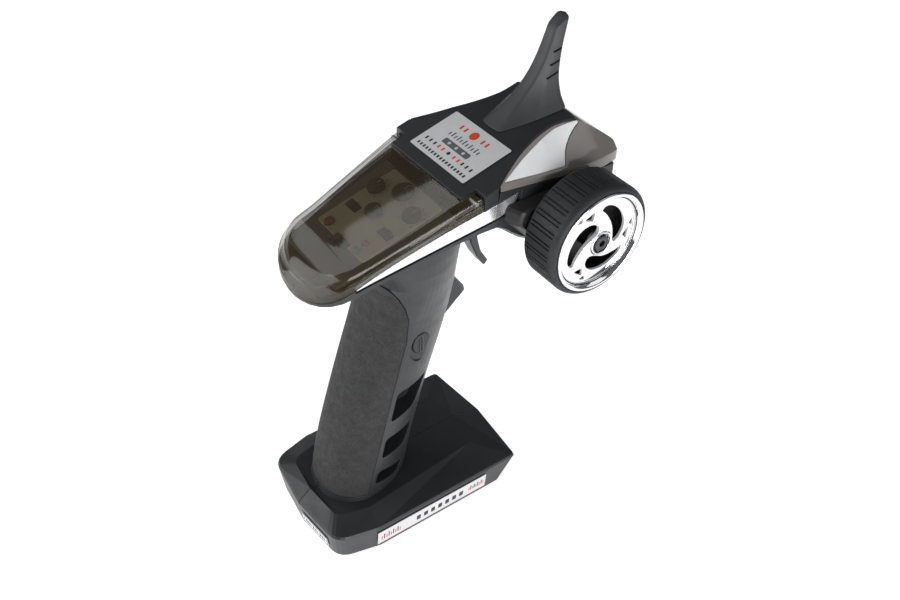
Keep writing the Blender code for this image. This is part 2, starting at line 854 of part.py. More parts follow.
def flip_cover():
    pivot = (0, HINGE_Y, HINGE_Z)
    flap = finish("flip_cover", loft(flap_rings(COVER_REAR - 0.5)), smoked_plastic(), pivot)
    hole = rod((0, HINGE_Y, HINGE_Z), (1, 0, 0), -45, 45, HINGE_PIN_R + GAP, 16)
    for side in (1, -1):
        low, high = sorted((side * 26.5, side * (head_half(HINGE_Y) - 0.2)))
        knuckle = rod((0, HINGE_Y, HINGE_Z), (1, 0, 0), low, high, KNUCKLE_R, 20)
        boolean(flap, cutter(f"flap_knuckle_{side}", knuckle), "UNION")
        low, high = sorted((side * 26.7, side * (head_half(14.0) - 0.6)))
        arm = prism("X", [(14.0, flap_z(14.0) - 4.4), (HINGE_Y - 0.4, HINGE_Z - 2.6), (HINGE_Y + 0.4, HINGE_Z + 2.55),
                          (14.0, flap_top(14.0, 0.0) - 0.3)], low, high)
        boolean(flap, cutter(f"flap_arm_{side}", arm), "UNION")
    boolean(flap, cutter("flap_hollow", loft(flap_rings(30.0, 1.8))))
    boolean(flap, cutter("flap_pin_hole", hole))
    return flap


def hinge_pins():
    for side, name in ((1, "hinge_pin_right"), (-1, "hinge_pin_left")):
        low, high = sorted((side * 22.8, side * 31.6))
        finish(name, rod((0, HINGE_Y, HINGE_Z), (1, 0, 0), low, high, HINGE_PIN_R, 12), steel())


def nose_section(y, thick=0.0):
    """The nose wing and the nose: a facet from the cover's border down to the side."""
    front = clamp((y - 95) / (HEAD_FRONT - 95))
    w = HEAD_HALF - 2.2 * front**2 - thick
    top = deck_z(y)
    half = border_half(min(y, COVER_FRONT))
    corner = border_z(min(y, COVER_FRONT))
    if y > COVER_FRONT:
        ahead = (y - COVER_FRONT) / (HEAD_FRONT - COVER_FRONT)
        half += 8.3 * ahead
        corner -= 12.6 * ahead
        top = corner + 1.9 * (1 - ahead)
    low = 140.0 if thick else nose_low(y)
    side = max(facet_low(y), nose_low(y) + 1.0)
    half = min(half, w - 0.6)
    return mirrored([(w, y, low), (w, y, side - thick), (half - 0.4 * thick, y, corner - thick),
                     (0.5 * half, y, top - thick - 0.25 * (top - corner))])


def nose_cap():
    stations = [COVER_SHOULDER + 1.2, 40.0, 44.0, 49.0, 55.0, 62.0, 70.0, 78.0, 84.0, COVER_FRONT + 0.6, 92.0, 98.0, HEAD_FRONT]
    cap = finish("nose_cap", loft([nose_section(y) for y in stations]), nose_plastic())
    hollow = loft([nose_section(y, 1.8) for y in [COVER_SHOULDER - 2] + stations[1:-1] + [HEAD_FRONT - 1.8]])
    boolean(cap, cutter("nose_hollow", hollow))
    outline = [(border_half(y) + GAP / 2, y) for y in (COVER_SHOULDER - 9, 36.4, 38.5, 41, 44, 48, 53, 59, 66, 75, 81)]
    outline.append((border_half(COVER_FRONT) + GAP / 2, COVER_FRONT + GAP))
    outline += [(-x, y) for x, y in outline[::-1]]
    boolean(cap, cutter("cover_space", prism("Z", outline, 130, 230)))
    for side in (1, -1):
        boolean(cap, cutter(f"panel_pocket_{side}", side_panel_body(side, GAP)))
    return cap


def facet_point(y, part):
    """A point on the wing's facet: part 0 is the cover's border, part 1 the lower edge."""
    high = Vector((border_half(y), y, border_z(y)))
    low = Vector((HEAD_HALF, y, facet_low(y)))
    return high.lerp(low, part)


PANEL_DEPTH = 0.8


def side_panel_body(side, grow=0.0):
    """The white panel: a blade on the facet, ending ahead in a hollow arc."""
    rear, tip = 39.6 - grow, 85.0 + grow
    rings = []
    for i in range(11):
        y = rear + (tip - rear) * i / 10
        high = facet_point(y, 0.18 - 0.02 * grow)
        reach = clamp((y - 70.5 - grow) / (tip - 70.5))
        foot = facet_point(y, 0.9 - 0.69 * reach**0.75 + 0.03 * grow)
        normal = Vector((0.83, 0.1, 0.55)).normalized()
        out, deep = normal * (0.1 + 3 * grow), normal * -(PANEL_DEPTH + grow)
        ring = [high + out, foot + out, foot + deep, high + deep]
        rings.append([Vector((side * p.x, p.y, p.z)) for p in ring])
    return loft(rings)


def trim():
    for side, tag in ((1, "right"), (-1, "left")):
        finish("trim_stripe_" + tag, stripe_body(side), trim_silver())
        finish("white_panel_" + tag, side_panel_body(side), trim_silver())


def deck_label():
    half, rear, front = 20.0, 26.8, 52.3
    rings = []
    for y in (rear, 34.0, 42.0, front):
        z = deck_z(y)
        rings.append([Vector(p) for p in (
            (half, y, z - deck_crown(half, y) + 0.1), (half, y, z + 0.45), (0, y, z + 0.5), (-half, y, z + 0.45),
            (-half, y, z - deck_crown(half, y) + 0.1), (0, y, z + 0.1))])
    finish("deck_label", loft(rings), label_white())


# ---------------------------------------------------------------- aerial


FIN_TIP_Z, FIN_TIP_RISE = 231.8, 0.62


def fin_outline(level, scale=1.0):
    """The fin's outline at a level from 0 at the deck to 1 at the tip: narrow behind, broad ahead."""
    rear = blend_curve(((0, 54.8), (0.12, 60.5), (0.28, 67.8), (0.45, 74.2), (0.62, 78.6), (0.8, 81.8), (1, 84.6)), level)
    front = blend_curve(((0, 91.0), (0.15, 89.6), (0.4, 88.8), (0.7, 89.8), (1, 92.8)), level)
    tail = blend_curve(((0, 6.4), (0.12, 4.4), (0.35, 3.3), (1, 3.0)), level)
    half = blend_curve(((0, 12.8), (0.12, 9.8), (0.35, 6.8), (0.7, 5.2), (1, 4.0)), level)
    ahead = front - 0.12 * (front - rear)
    corners = [
        (0.0, rear, 0.0), (tail, rear + 0.6, 1.6 + tail * 0.2), (half * 0.9, rear + 0.55 * (ahead - rear), 8.0),
        (half, ahead, 1.2 + half * 0.15), (0.0, front, 0.0),
    ]
    corners += [(-x, y, r) for x, y, r in corners[3:0:-1]]
    middle = (rear + front) / 2
    return [(x * scale, middle + (y - middle) * scale) for x, y in rounded(corners, 3)]


def fin_ring(level, scale=1.0, drop=0.0):
    ring = []
    for x, y in fin_outline(level, scale):
        base = deck_z(y) - deck_crown(x, y) + GAP - drop
        tip = FIN_TIP_Z + FIN_TIP_RISE * (y - 88.0)
        ring.append(Vector((x, y, base + (tip - base) * level)))
    return ring


def fin_cap(shrink, rise):
    """A smaller copy of the tip's ring that rounds the fin off."""
    ring = fin_ring(1.0)
    centre = sum(ring, Vector()) / len(ring)
    return [centre + (p - centre) * shrink + Vector((0, 0.2 * rise, rise)) for p in ring]


def aerial():
    levels = (0, 0.03, 0.09, 0.18, 0.28, 0.4, 0.52, 0.64, 0.76, 0.88, 0.96, 1)
    rings = [fin_ring(t) for t in levels] + [fin_cap(0.86, 1.0), fin_cap(0.5, 1.7)]
    fin = finish("aerial_fin", loft(rings), shell_plastic())
    hollow = loft([fin_ring(t, scale, 4.0) for t, scale in ((-0.05, 0.82), (0.12, 0.76), (0.25, 0.6), (0.5, 0.5))])
    boolean(fin, cutter("fin_hollow", hollow))
    core = cutter("gill_core", loft([fin_ring(t, 0.8) for t in (0.2, 0.4, 0.6, 0.8, 0.95)]))
    for i, (low_y, low_z) in enumerate(((80.6, 209.8), (82.6, 215.2), (84.4, 220.6))):
        rise = Vector((0.93, 0.36)) * 14.0
        thick = Vector((-0.36, 0.93)) * 0.7
        start = Vector((low_y, low_z))
        outline = [start, start + rise, start + rise + thick, start + thick]
        gill = cutter(f"gill_{i + 1}", prism("X", [tuple(p) for p in outline], -12, 12))
        boolean(gill, core)
        boolean(fin, gill)
    finish("aerial_rod", rod((0, 78.0, 176.0), (0, 0.12, 1), 0.0, 34.0, 1.0, 12), brass())


# ---------------------------------------------------------------- control plate

PLATE_DROP = 7.6
PLATE_NORMAL = Vector((0, -DECK_SLOPE, 1)).normalized()
TILT = atan2(DECK_SLOPE, 1.0)


def plate_point(x, y, lift=0.0):
    """A point above the control plate's top face."""
    return Vector((x, y, deck_z(y) - PLATE_DROP)) + PLATE_NORMAL * lift


def on_plate(bm, x, y, lift=0.0):
    """Tilts a body built about the origin and stands it on the control plate."""
    bmesh.ops.rotate(bm, verts=bm.verts, matrix=Matrix.Rotation(TILT, 3, "X"))
    bmesh.ops.translate(bm, verts=bm.verts, vec=plate_point(x, y, lift))
    return bm


KNOBS = {
    "knob_steering_trim": (12.6, 6.8, 4.2),
    "knob_throttle_trim": (-14.2, 6.2, 4.2),
    "knob_dual_rate": (-1.6, 12.0, 5.0),
    "knob_end_point": (-2.2, -2.6, 4.0),
}
KNOB_HEIGHT = 3.3
SWITCHES = {"switch_steering_reverse": (12.2, -6.0), "switch_throttle_reverse": (-12.6, -6.4)}
POWER_SWITCH = (1.0, -21.4)
BIND_BUTTON = (-12.4, -18.4)
LAMPS = {"lamp_power": (10.4, -14.6, (0.7, 0.05, 0.03)), "lamp_charge": (10.4, -19.4, (0.05, 0.5, 0.08))}
PANEL_RISE = 0.7


def control_plate():
    rings = []
    for y in (-35.0, -32.5, -28.0, -15.0, 0.0, 12.0, 19.0):
        half = head_half(y) - STRIPE_DEPTH - WALL - 2 * GAP
        sag = max(0.0, -24.0 - y) ** 2 * 0.012
        top = deck_z(y) - PLATE_DROP - sag
        rings.append([Vector(p) for p in ((half, y, top - 1.6), (half, y, top), (-half, y, top), (-half, y, top - 1.6))])
    plate = finish("control_plate", loft(rings), plate_silver())
    panel = on_plate(box((-18.5, -20.5, -1.0), (18.5, 20.5, PANEL_RISE)), 0, -1.5)
    boolean(plate, cutter("plate_panel", panel), "UNION")
    for name, (x, y, radius) in KNOBS.items():
        hole = on_plate(rod((0, 0, 0), (0, 0, 1), -4, 4, 1.6 + GAP, 12), x, y)
        boolean(plate, cutter(name + "_hole", hole))
    slots = {name: (x, y, 4.2, 2.2) for name, (x, y) in SWITCHES.items()}
    slots["switch_power"] = (*POWER_SWITCH, 5.4, 2.6)
    for name, (x, y, half_x, half_y) in slots.items():
        slot = on_plate(box((-half_x, -half_y, -4), (half_x, half_y, 4)), x, y)
        boolean(plate, cutter(name + "_slot", slot))
    hole = on_plate(rod((0, 0, 0), (0, 0, 1), -4, 4, 2.2 + GAP, 16), *BIND_BUTTON)
    boolean(plate, cutter("bind_hole", hole))
    for name, (x, y, colour) in LAMPS.items():
        hole = on_plate(rod((0, 0, 0), (0, 0, 1), -4, 4, 1.5 + GAP, 12), x, y)
        boolean(plate, cutter(name + "_hole", hole))
    return plate


def knobs():
    for name, (x, y, radius) in KNOBS.items():
        foot = PANEL_RISE + GAP
        profile = [(-3.0, 0), (-3.0, 1.6), (foot, 1.6), (foot, radius), (KNOB_HEIGHT - 0.5, radius - 0.4),
                   (KNOB_HEIGHT, radius - 1.0), (KNOB_HEIGHT, 0)]
        bm = on_plate(turned(profile, (0, 0, 0), (0, 0, 1), 24), x, y)
        knob = finish(name, bm, knob_black(), plate_point(x, y))
        mark = on_plate(box((-0.45, 1.0, KNOB_HEIGHT - 0.5), (0.45, radius + 1.0, 5.0)), x, y)
        boolean(knob, cutter(name + "_mark", mark))


def switches():
    for name, (x, y) in SWITCHES.items():
        bm = on_plate(box((-2.6, -1.7, -3.0), (0.2, 1.7, 2.0), 0.3, 1), x, y)
        finish(name, bm, knob_black(), plate_point(x, y))
    bm = on_plate(box((-3.6, -2.1, -3.0), (0.4, 2.1, 2.6), 0.4, 1), *POWER_SWITCH)
    finish("switch_power", bm, knob_black(), plate_point(*POWER_SWITCH))
    bm = on_plate(rod((0, 0, 0), (0, 0, 1), -2.6, 2.0, 2.2, 20, 0.3), *BIND_BUTTON)
    finish("bind_button", bm, lamp("button_red", (0.45, 0.03, 0.02)), plate_point(*BIND_BUTTON))
    for name, (x, y, colour) in LAMPS.items():
        profile = [(-2.6, 0), (-2.6, 1.5), (1.0, 1.5), (1.7, 1.1), (2.1, 0)]
        finish(name, on_plate(turned(profile, (0, 0, 0), (0, 0, 1), 16), x, y), lamp(name, colour))


def boards():
    """The main board under the control plate and the radio module ahead of it."""
    board = on_plate(box((-15, -22, -5.6), (15, 22, -4.2)), 0, -6)
    finish("main_board", board, board_green())
    module = on_plate(box((-11, -9, -2), (11, 9, 2), 0.4, 1), 0, 62)
    finish("radio_module", module, steel())
    sounder = on_plate(rod((0, 0, 0), (0, 0, 1), -5.0, -1.8, 5.0, 20, 0.4), -15, 31)
    finish("sounder", sounder, knob_black())


# ---------------------------------------------------------------- steering


def steering():
    centre = (0, WHEEL_Y, WHEEL_Z)
    axis = (1, 0, 0)
    tyre = [
        (WHEEL_IN, 21.0), (WHEEL_IN, TYRE_R - 1.2), (WHEEL_IN + 1.0, TYRE_R), (WHEEL_OUT - 4.0, TYRE_R),
        (WHEEL_OUT - 2.2, TYRE_R - 0.45), (WHEEL_OUT - 1.0, TYRE_R - 1.3), (WHEEL_OUT - 0.7, RIM_R + 0.7),
        (WHEEL_OUT - 1.0, RIM_R + GAP), (WHEEL_OUT - 2.4, RIM_R + GAP), (WHEEL_OUT - 2.4, 21.0),
    ]
    finish("wheel_tyre", turned(tyre, centre, axis, 48, closed=True), rubber(), centre)
    hub_out, hub_seat, hub_back = WHEEL_OUT - 0.9, WHEEL_OUT - 3.2, WHEEL_OUT - 12.0
    rim = [
        (WHEEL_IN + 0.6, 19.4), (WHEEL_IN + 0.6, 20.7), (WHEEL_OUT - 2.1, 20.7), (WHEEL_OUT - 2.1, RIM_R),
        (WHEEL_OUT - 0.3, RIM_R), (WHEEL_OUT, RIM_R - 0.5), (WHEEL_OUT - 0.3, RIM_R - 1.8), (WHEEL_OUT - 2.7, 20.4),
        (WHEEL_OUT - 2.2, 15.0), (WHEEL_OUT - 1.3, 9.0), (hub_out, 6.4), (hub_seat, 5.4), (hub_seat, SHAFT_R + GAP),
        (hub_back, SHAFT_R + GAP), (hub_back, 5.6), (WHEEL_OUT - 5.6, 6.4), (WHEEL_OUT - 5.2, 19.4),
    ]
    hub = finish("wheel_rim", turned(rim, centre, axis, 48, closed=True), chrome(), centre)
    for i in range(3):
        boolean(hub, cutter(f"rim_window_{i + 1}", rim_window(i)))
        boolean(hub, cutter(f"rim_notch_{i + 1}", rim_notch(i)))
    nut = [(WHEEL_Y + 4.0 * cos(pi / 3 * i), WHEEL_Z + 4.0 * sin(pi / 3 * i)) for i in range(6)]
    finish("wheel_nut", prism("X", nut, hub_seat + GAP, WHEEL_OUT), steel(), centre)
    shaft = turned([(14.5, 0), (14.5, SHAFT_R), (hub_seat, SHAFT_R), (hub_seat, 0)], centre, axis, 20)
    finish("steering_shaft", shaft, steel(), centre)
    finish("shaft_bush", tube(centre, axis, 24.6, 33.2, SHAFT_R + GAP, 5.2), brass())
    coil("centring_spring", (16.0, WHEEL_Y, WHEEL_Z), axis, 5.6, 0.6, 1.7, 4.5, steel())
    pot = turned([(2.0, 0), (2.0, 8.0), (9.0, 8.0), (9.0, 3.4), (13.8, 3.4), (13.8, 0)], centre, axis, 24)
    finish("steering_pot", pot, steel())


def rim_point(radius, angle):
    return WHEEL_Y + radius * cos(angle), WHEEL_Z + radius * sin(angle)


def rim_window(i):
    """A comma-shaped window of the rim: broad at its head, curling in towards the hub."""
    start = pi / 2 - 2 * pi * i / 3
    sweep = radians(109)
    outer, inner = [], []
    for k in range(9):
        t = k / 8
        outer.append(rim_point(16.8 - 7.4 * t**2.2 - 1.2 * (1 - t) ** 8, start - sweep * t))
        inner.append(rim_point(12.8 - 9.2 * t + 4.0 * t**4 + 1.6 * (1 - t) ** 8, start - sweep * t))
    return prism("X", outer + inner[::-1], WHEEL_OUT - 16, WHEEL_OUT + 2)


def rim_notch(i):
    """The small triangular opening near the rim's edge, between two windows."""
    start = pi / 2 - 2 * pi * i / 3
    corners = [(15.0, 24), (18.8, 33), (18.8, 16)]
    outline = [(*rim_point(radius, start + radians(turn)), 0.7) for radius, turn in corners]
    return prism("X", rounded(outline, 2), WHEEL_OUT - 16, WHEEL_OUT + 2)


def wheel_housing():
    """The dark fairing between the head's side and the wheel."""
    outline = rounded(
        [(38.0, 170.0, 3), (40.0, 177.0, 3), (86.0, 176.5, 4), (95.0, 170.0, 5), (93.0, 160.0, 5), (84.0, 152.5, 6),
         (60.0, 152.5, 6), (49.5, 158.0, 3)], 2
    )
    rings = []
    for x, shrink in ((HEAD_HALF + GAP, 0.0), (WHEEL_IN - 2.2, 0.10), (WHEEL_IN - 1.2, 0.14)):
        rings.append([Vector((x, WHEEL_Y + (y - WHEEL_Y) * (1 - shrink), 166 + (z - 166) * (1 - shrink))) for y, z in outline])
    housing = finish("wheel_housing", loft(rings), knob_black())
    hole = rod((0, WHEEL_Y, WHEEL_Z), (1, 0, 0), 20, 60, SHAFT_R + 1.0)
    boolean(housing, cutter("housing_hole", hole))


# ---------------------------------------------------------------- trigger


def trigger():
    pivot = (0, TRIGGER_Y, TRIGGER_Z)
    outline = rounded(
        [(43.2, 168.0, 3), (47.0, 172.4, 3), (50.8, 168.0, 3), (47.2, 152.0, 10), (46.0, 140.0, 10), (49.4, 131.2, 10),
         (54.8, 122.6, 0.8), (52.6, 120.4, 0.8), (48.0, 127.6, 10), (43.2, 138.6, 10), (42.2, 152.0, 10)], 3
    )
    rings = []
    for x, tuck in ((-TRIGGER_HALF, 0.6), (-TRIGGER_HALF + 0.7, 0.0), (TRIGGER_HALF - 0.7, 0.0), (TRIGGER_HALF, 0.6)):
        ring = []
        for y, z in outline:
            narrow = 1 - 0.36 * clamp((140.0 - z) / 18.0)
            back = tuck * clamp((50.0 - y) / 3.0) * clamp((150 - z) / 8)
            ring.append(Vector((x * narrow, y + back, z)))
        rings.append(ring)
    made = finish("trigger", loft(rings), shell_plastic(), pivot)
    hole = rod(pivot, (1, 0, 0), -10, 10, TRIGGER_PIN_R + GAP, 16)
    boolean(made, cutter("trigger_hole", hole))
    finish("trigger_pin", rod((0, TRIGGER_Y, TRIGGER_Z), (1, 0, 0), -12.6, 10.2, TRIGGER_PIN_R, 14), steel())
    coil("trigger_spring", (-9.0, TRIGGER_Y, TRIGGER_Z), (1, 0, 0), 2.6, 0.4, 1.0, 3.6, steel())
    pot = turned([(11.0, 0), (11.0, 2.5), (13.0, 2.5), (13.0, 5.4), (18.0, 5.4), (18.0, 0)], pivot, (1, 0, 0), 20)
    finish("throttle_pot", pot, steel())


# ---------------------------------------------------------------- grip parts

BUTTON_Y, BUTTON_Z = 8.3, 106.0
BUTTON_SEAT = 15.0


def button_outline(grow=0.0):
    """A tall half moon whose straight side faces the front."""
    half, depth = 6.0 + grow, 6.4 + grow
    outline = [(BUTTON_Y + grow, BUTTON_Z - half), (BUTTON_Y + grow, BUTTON_Z + half)]
    for i in range(1, 12):
        angle = pi / 2 + pi * i / 12
        outline.append((BUTTON_Y + depth * power(cos(angle), 0.85), BUTTON_Z + half * sin(angle)))
    return outline


def button_dimple():
    """The shallow oval hollow round the button."""
    rings = []
    for x, grow in ((24.0, 3.2), (18.3, 0.0)):
        outline = []
        for i in range(20):
            angle = 2 * pi * i / 20
            outline.append(Vector((x, BUTTON_Y - 2.4 + (5.4 + grow) * cos(angle), BUTTON_Z - 1.4 + (8.2 + grow) * sin(angle))))
        rings.append(outline)
    return loft(rings)


def channel_button():
    surface = 19.2
    finish("channel_button", prism("X", button_outline(), BUTTON_SEAT + 1.6, surface), shell_plastic())
    middle = BUTTON_Y - 2.6
    switch = box((BUTTON_SEAT - 4.2, middle - 3, BUTTON_Z - 3), (BUTTON_SEAT - 0.4, middle + 3, BUTTON_Z + 3), 0.4, 1)
    finish("tact_switch", switch, steel())


# ---------------------------------------------------------------- foot parts


def foot_parts():
    cell = box((-17, -16, 9.2), (17, 34, 15.0), 0.8, 1)
    finish("battery_pack", cell, lamp("cell_wrap", (0.05, 0.12, 0.4)))
    door = box((-BAY_HALF_X, BAY_REAR, 0.0), (BAY_HALF_X, BAY_FRONT + 2.6, DOOR_THICK))
    finish("battery_door", door, shell_plastic())
    socket = box((-34.8, -34.3, 5.7), (-28.5, -25.7, 10.3), 0.5, 1)
    made = finish("charge_socket", socket, steel())
    boolean(made, cutter("socket_mouth", box((-36, -33.0, 6.8), (-31, -27.0, 9.2))))
    for name, (x, y) in PADS.items():
        finish(name, rod((x, y, 0), (0, 0, 1), 0.0, 0.6, PAD_R, 20), rubber())
    foot_labels()


def foot_side_x(z):
    """Half width of the foot's long side at a height between its two edges."""
    return blend_curve(((1.4, FOOT_HALF - 1.6), (FOOT_EDGE_Z - 1.2, FOOT_HALF)), z)


def foot_rear_y(x, z):
    """Place of the foot's rear face at a distance from the seam and a height between its two edges."""
    slope, lean = 3.2 / (FOOT_HALF - 5.0), clamp((FOOT_EDGE_Z - 1.2 - z) / 14.7)
    return FOOT_REAR + slope * x + 1.6 * lean


def foot_labels():
    """The thin labels stuck on the foot's right side and across its rear."""
    low, high = SIDE_LABEL_Z
    rings = []
    for y in SIDE_LABEL_Y:
        inner = [(foot_side_x(z) + GAP, y, z) for z in (low, high)]
        outer = [(x + LABEL_THICK, y, z) for x, y, z in inner[::-1]]
        rings.append([Vector(p) for p in inner + outer])
    finish("side_label", loft(rings), label_white())
    low, high = REAR_LABEL_Z
    rings = []
    for x in REAR_LABEL_X:
        inner = [(x, foot_rear_y(x, z) - GAP - 0.02, z) for z in (low, high)]
        outer = [(x, y - LABEL_THICK, z) for x, y, z in inner[::-1]]
        rings.append([Vector(p) for p in inner + outer])
    finish("rear_label", loft(rings), label_white())


def wiring():
    """The battery's lead, up the channel in the grip to the main board."""
    path = [Vector((0, -12.0, 17.0)), Vector((0, -19.0, 17.2)), Vector((0, -23.0, 20.5)), Vector((0, -24.5, 27.0))]
    path += [Vector((0, grip_values(z)[1] + 16.0, z)) for z in (35.0, 55.0, 75.0, 95.0, 115.0, 132.0, 148.0, 160.0)]
    rings = []
    for i, point in enumerate(path):
        ahead = (path[min(i + 1, len(path) - 1)] - path[max(i - 1, 0)]).normalized()
        side = Vector((1, 0, 0))
        up = ahead.cross(side)
        rings.append([point + (side * cos(a) + up * sin(a)) * LEAD_R for a in (k * pi / 4 for k in range(8))])
    finish("battery_lead", loft(rings), lamp("lead_red", (0.4, 0.03, 0.02)))


def build():
    for old in list(bpy.data.objects):
        bpy.data.objects.remove(old, do_unlink=True)
    shells()
    pad_body()
    top_cover()
    flip_cover()
    hinge_pins()
    nose_cap()
    trim()
    deck_label()
    aerial()
    control_plate()
    knobs()
    switches()
    boards()
    steering()
    wheel_housing()
    trigger()
    channel_button()
    foot_parts()
    shell_screws()
    wiring()


build()
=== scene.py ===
"""Looks for a pistol-grip radio transmitter: materials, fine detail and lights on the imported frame."""

import json
from math import atan2, cos, pi, radians, sin

import bmesh
import bpy
from mathutils import Matrix, Vector


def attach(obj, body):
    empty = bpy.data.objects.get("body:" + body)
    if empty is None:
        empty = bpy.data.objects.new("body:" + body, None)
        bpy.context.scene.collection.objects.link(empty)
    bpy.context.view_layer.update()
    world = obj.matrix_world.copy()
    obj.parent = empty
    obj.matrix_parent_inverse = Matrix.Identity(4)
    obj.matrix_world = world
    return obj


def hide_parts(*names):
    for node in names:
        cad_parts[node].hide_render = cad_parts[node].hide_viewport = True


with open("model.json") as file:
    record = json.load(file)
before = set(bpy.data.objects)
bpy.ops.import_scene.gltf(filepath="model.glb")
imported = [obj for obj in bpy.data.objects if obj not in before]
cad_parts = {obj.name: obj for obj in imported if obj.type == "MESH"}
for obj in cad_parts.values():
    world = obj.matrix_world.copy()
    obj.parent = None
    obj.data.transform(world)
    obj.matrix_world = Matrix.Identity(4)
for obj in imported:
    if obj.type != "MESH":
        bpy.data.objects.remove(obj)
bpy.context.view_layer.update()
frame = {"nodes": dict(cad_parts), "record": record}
NODES = frame["nodes"]
MM = 0.001


# ---------------------------------------------------------------- node graphs


class Graph:
    """A Principled material and short calls that add nodes to it."""

    def __init__(self, name, colour, roughness, metallic=0.0):
        self.material = bpy.data.materials.new(name)
        self.material.use_nodes = True
        self.tree = self.material.node_tree
        self.shader = self.tree.nodes["Principled BSDF"]
        self.set("Base Color", (*colour, 1.0))
        self.set("Roughness", roughness)
        self.set("Metallic", metallic)
        self.place = self.node("ShaderNodeTexCoord").outputs["Object"]

    def set(self, name, value):
        self.shader.inputs[name].default_value = value

    def node(self, kind, **values):
        made = self.tree.nodes.new(kind)
        for name, value in values.items():
            setattr(made, name, value)
        return made

    def wire(self, source, target):
        self.tree.links.new(source, target)

    def feed(self, name, source):
        self.wire(source, self.shader.inputs[name])

    def noise(self, scale, detail=3.0, rough=0.55, stretch=None):
        made = self.node("ShaderNodeTexNoise")
        made.inputs["Scale"].default_value = scale
        made.inputs["Detail"].default_value = detail
        made.inputs["Roughness"].default_value = rough
        self.wire(self.spread(stretch), made.inputs["Vector"])
        return made.outputs["Fac"]

    def spread(self, stretch):
        if stretch is None:
            return self.place
        mapped = self.node("ShaderNodeMapping")
        mapped.inputs["Scale"].default_value = stretch
        self.wire(self.place, mapped.inputs["Vector"])
        return mapped.outputs["Vector"]

    def cells(self, scale, feature="F1", stretch=None, wobble=0.0):
        made = self.node("ShaderNodeTexVoronoi", feature=feature)
        made.inputs["Scale"].default_value = scale
        source = self.spread(stretch)
        if wobble:
            push = self.node("ShaderNodeTexNoise")
            push.inputs["Scale"].default_value = scale * 0.6
            self.wire(source, push.inputs["Vector"])
            mix = self.node("ShaderNodeVectorMath", operation="MULTIPLY_ADD")
            self.wire(push.outputs["Color"], mix.inputs[0])
            mix.inputs[1].default_value = (wobble,) * 3
            self.wire(source, mix.inputs[2])
            source = mix.outputs["Vector"]
        self.wire(source, made.inputs["Vector"])
        return made.outputs["Distance"]

    def ramp(self, source, *stops):
        """Stops of (place, value or colour)."""
        made = self.node("ShaderNodeValToRGB")
        ramp = made.color_ramp
        while len(ramp.elements) < len(stops):
            ramp.elements.new(0.5)
        for element, (place, value) in zip(ramp.elements, stops):
            element.position = place
            element.color = (*value, 1.0) if isinstance(value, tuple) else (value, value, value, 1.0)
        self.wire(source, made.inputs["Fac"])
        return made.outputs["Color"]

    def math(self, operation, a, b):
        made = self.node("ShaderNodeMath", operation=operation)
        for slot, value in ((0, a), (1, b)):
            if isinstance(value, (int, float)):
                made.inputs[slot].default_value = value
            else:
                self.wire(value, made.inputs[slot])
        return made.outputs[0]

    def bump(self, height, distance, strength=1.0, over=None):
        made = self.node("ShaderNodeBump")
        made.inputs["Strength"].default_value = strength
        made.inputs["Distance"].default_value = distance
        self.wire(height, made.inputs["Height"])
        if over is not None:
            self.wire(over, made.inputs["Normal"])
        self.feed("Normal", made.outputs["Normal"])
        return made.outputs["Normal"]

    def rounding(self, radius):
        made = self.node("ShaderNodeBevel", samples=4)
        made.inputs["Radius"].default_value = radius
        return made.outputs["Normal"]


def satin_plastic(name="charcoal_moulding", colour=(0.022, 0.023, 0.025), rough=0.38, grain=0.06):
    """Spark-eroded moulding: a fine grain, faint cloudiness and a few dust specks."""
    g = Graph(name, colour, rough)
    cloud = g.noise(45, 4)
    low = tuple(c * 0.86 for c in colour)
    high = tuple(c * 1.2 for c in colour)
    g.feed("Base Color", g.ramp(cloud, (0.3, low), (0.7, high)))
    g.feed("Roughness", g.ramp(g.noise(160, 3), (0.3, rough - 0.05), (0.75, rough + 0.07)))
    g.bump(g.noise(2600, 2), 0.00006, grain, g.rounding(0.0005))
    g.set("Specular IOR Level", 0.5)
    return g.material


def grip_rubber():
    """Leather-grain rubber: small raised cells, lighter on their tops as a painted highlight, in patches that
    vary at random.
    """
    g = Graph("grip_rubber", (0.04, 0.04, 0.042), 0.72)
    cells = g.cells(1150, wobble=0.0004)
    fine = g.noise(2400, 3)
    height = g.math("ADD", g.ramp(cells, (0.05, 1.0), (0.62, 0.0)), g.math("MULTIPLY", fine, 0.35))
    g.bump(height, 0.00016, 0.55, g.rounding(0.0003))
    # Lighter on the raised cell tops: painted highlight, scaled by random patches.
    painted_highlight_and_tone = g.math("MULTIPLY", g.ramp(cells, (0.0, 1.0), (0.7, 0.25)), g.noise(70, 3))
    g.feed("Base Color", g.ramp(painted_highlight_and_tone, (0.1, (0.014, 0.014, 0.015)), (0.7, (0.040, 0.040, 0.042))))
    g.feed("Roughness", g.ramp(g.noise(300, 3), (0.3, 0.62), (0.7, 0.82)))
    return g.material


def tyre_rubber():
    g = Graph("tyre_rubber", (0.017, 0.018, 0.021), 0.62)
    g.feed("Base Color", g.ramp(g.noise(90, 4), (0.3, (0.009, 0.010, 0.012)), (0.75, (0.019, 0.020, 0.024))))
    g.feed("Roughness", g.ramp(g.noise(500, 3), (0.3, 0.5), (0.7, 0.68)))
    g.bump(g.noise(1900, 3), 0.00008, 0.25, g.rounding(0.0003))
    return g.material


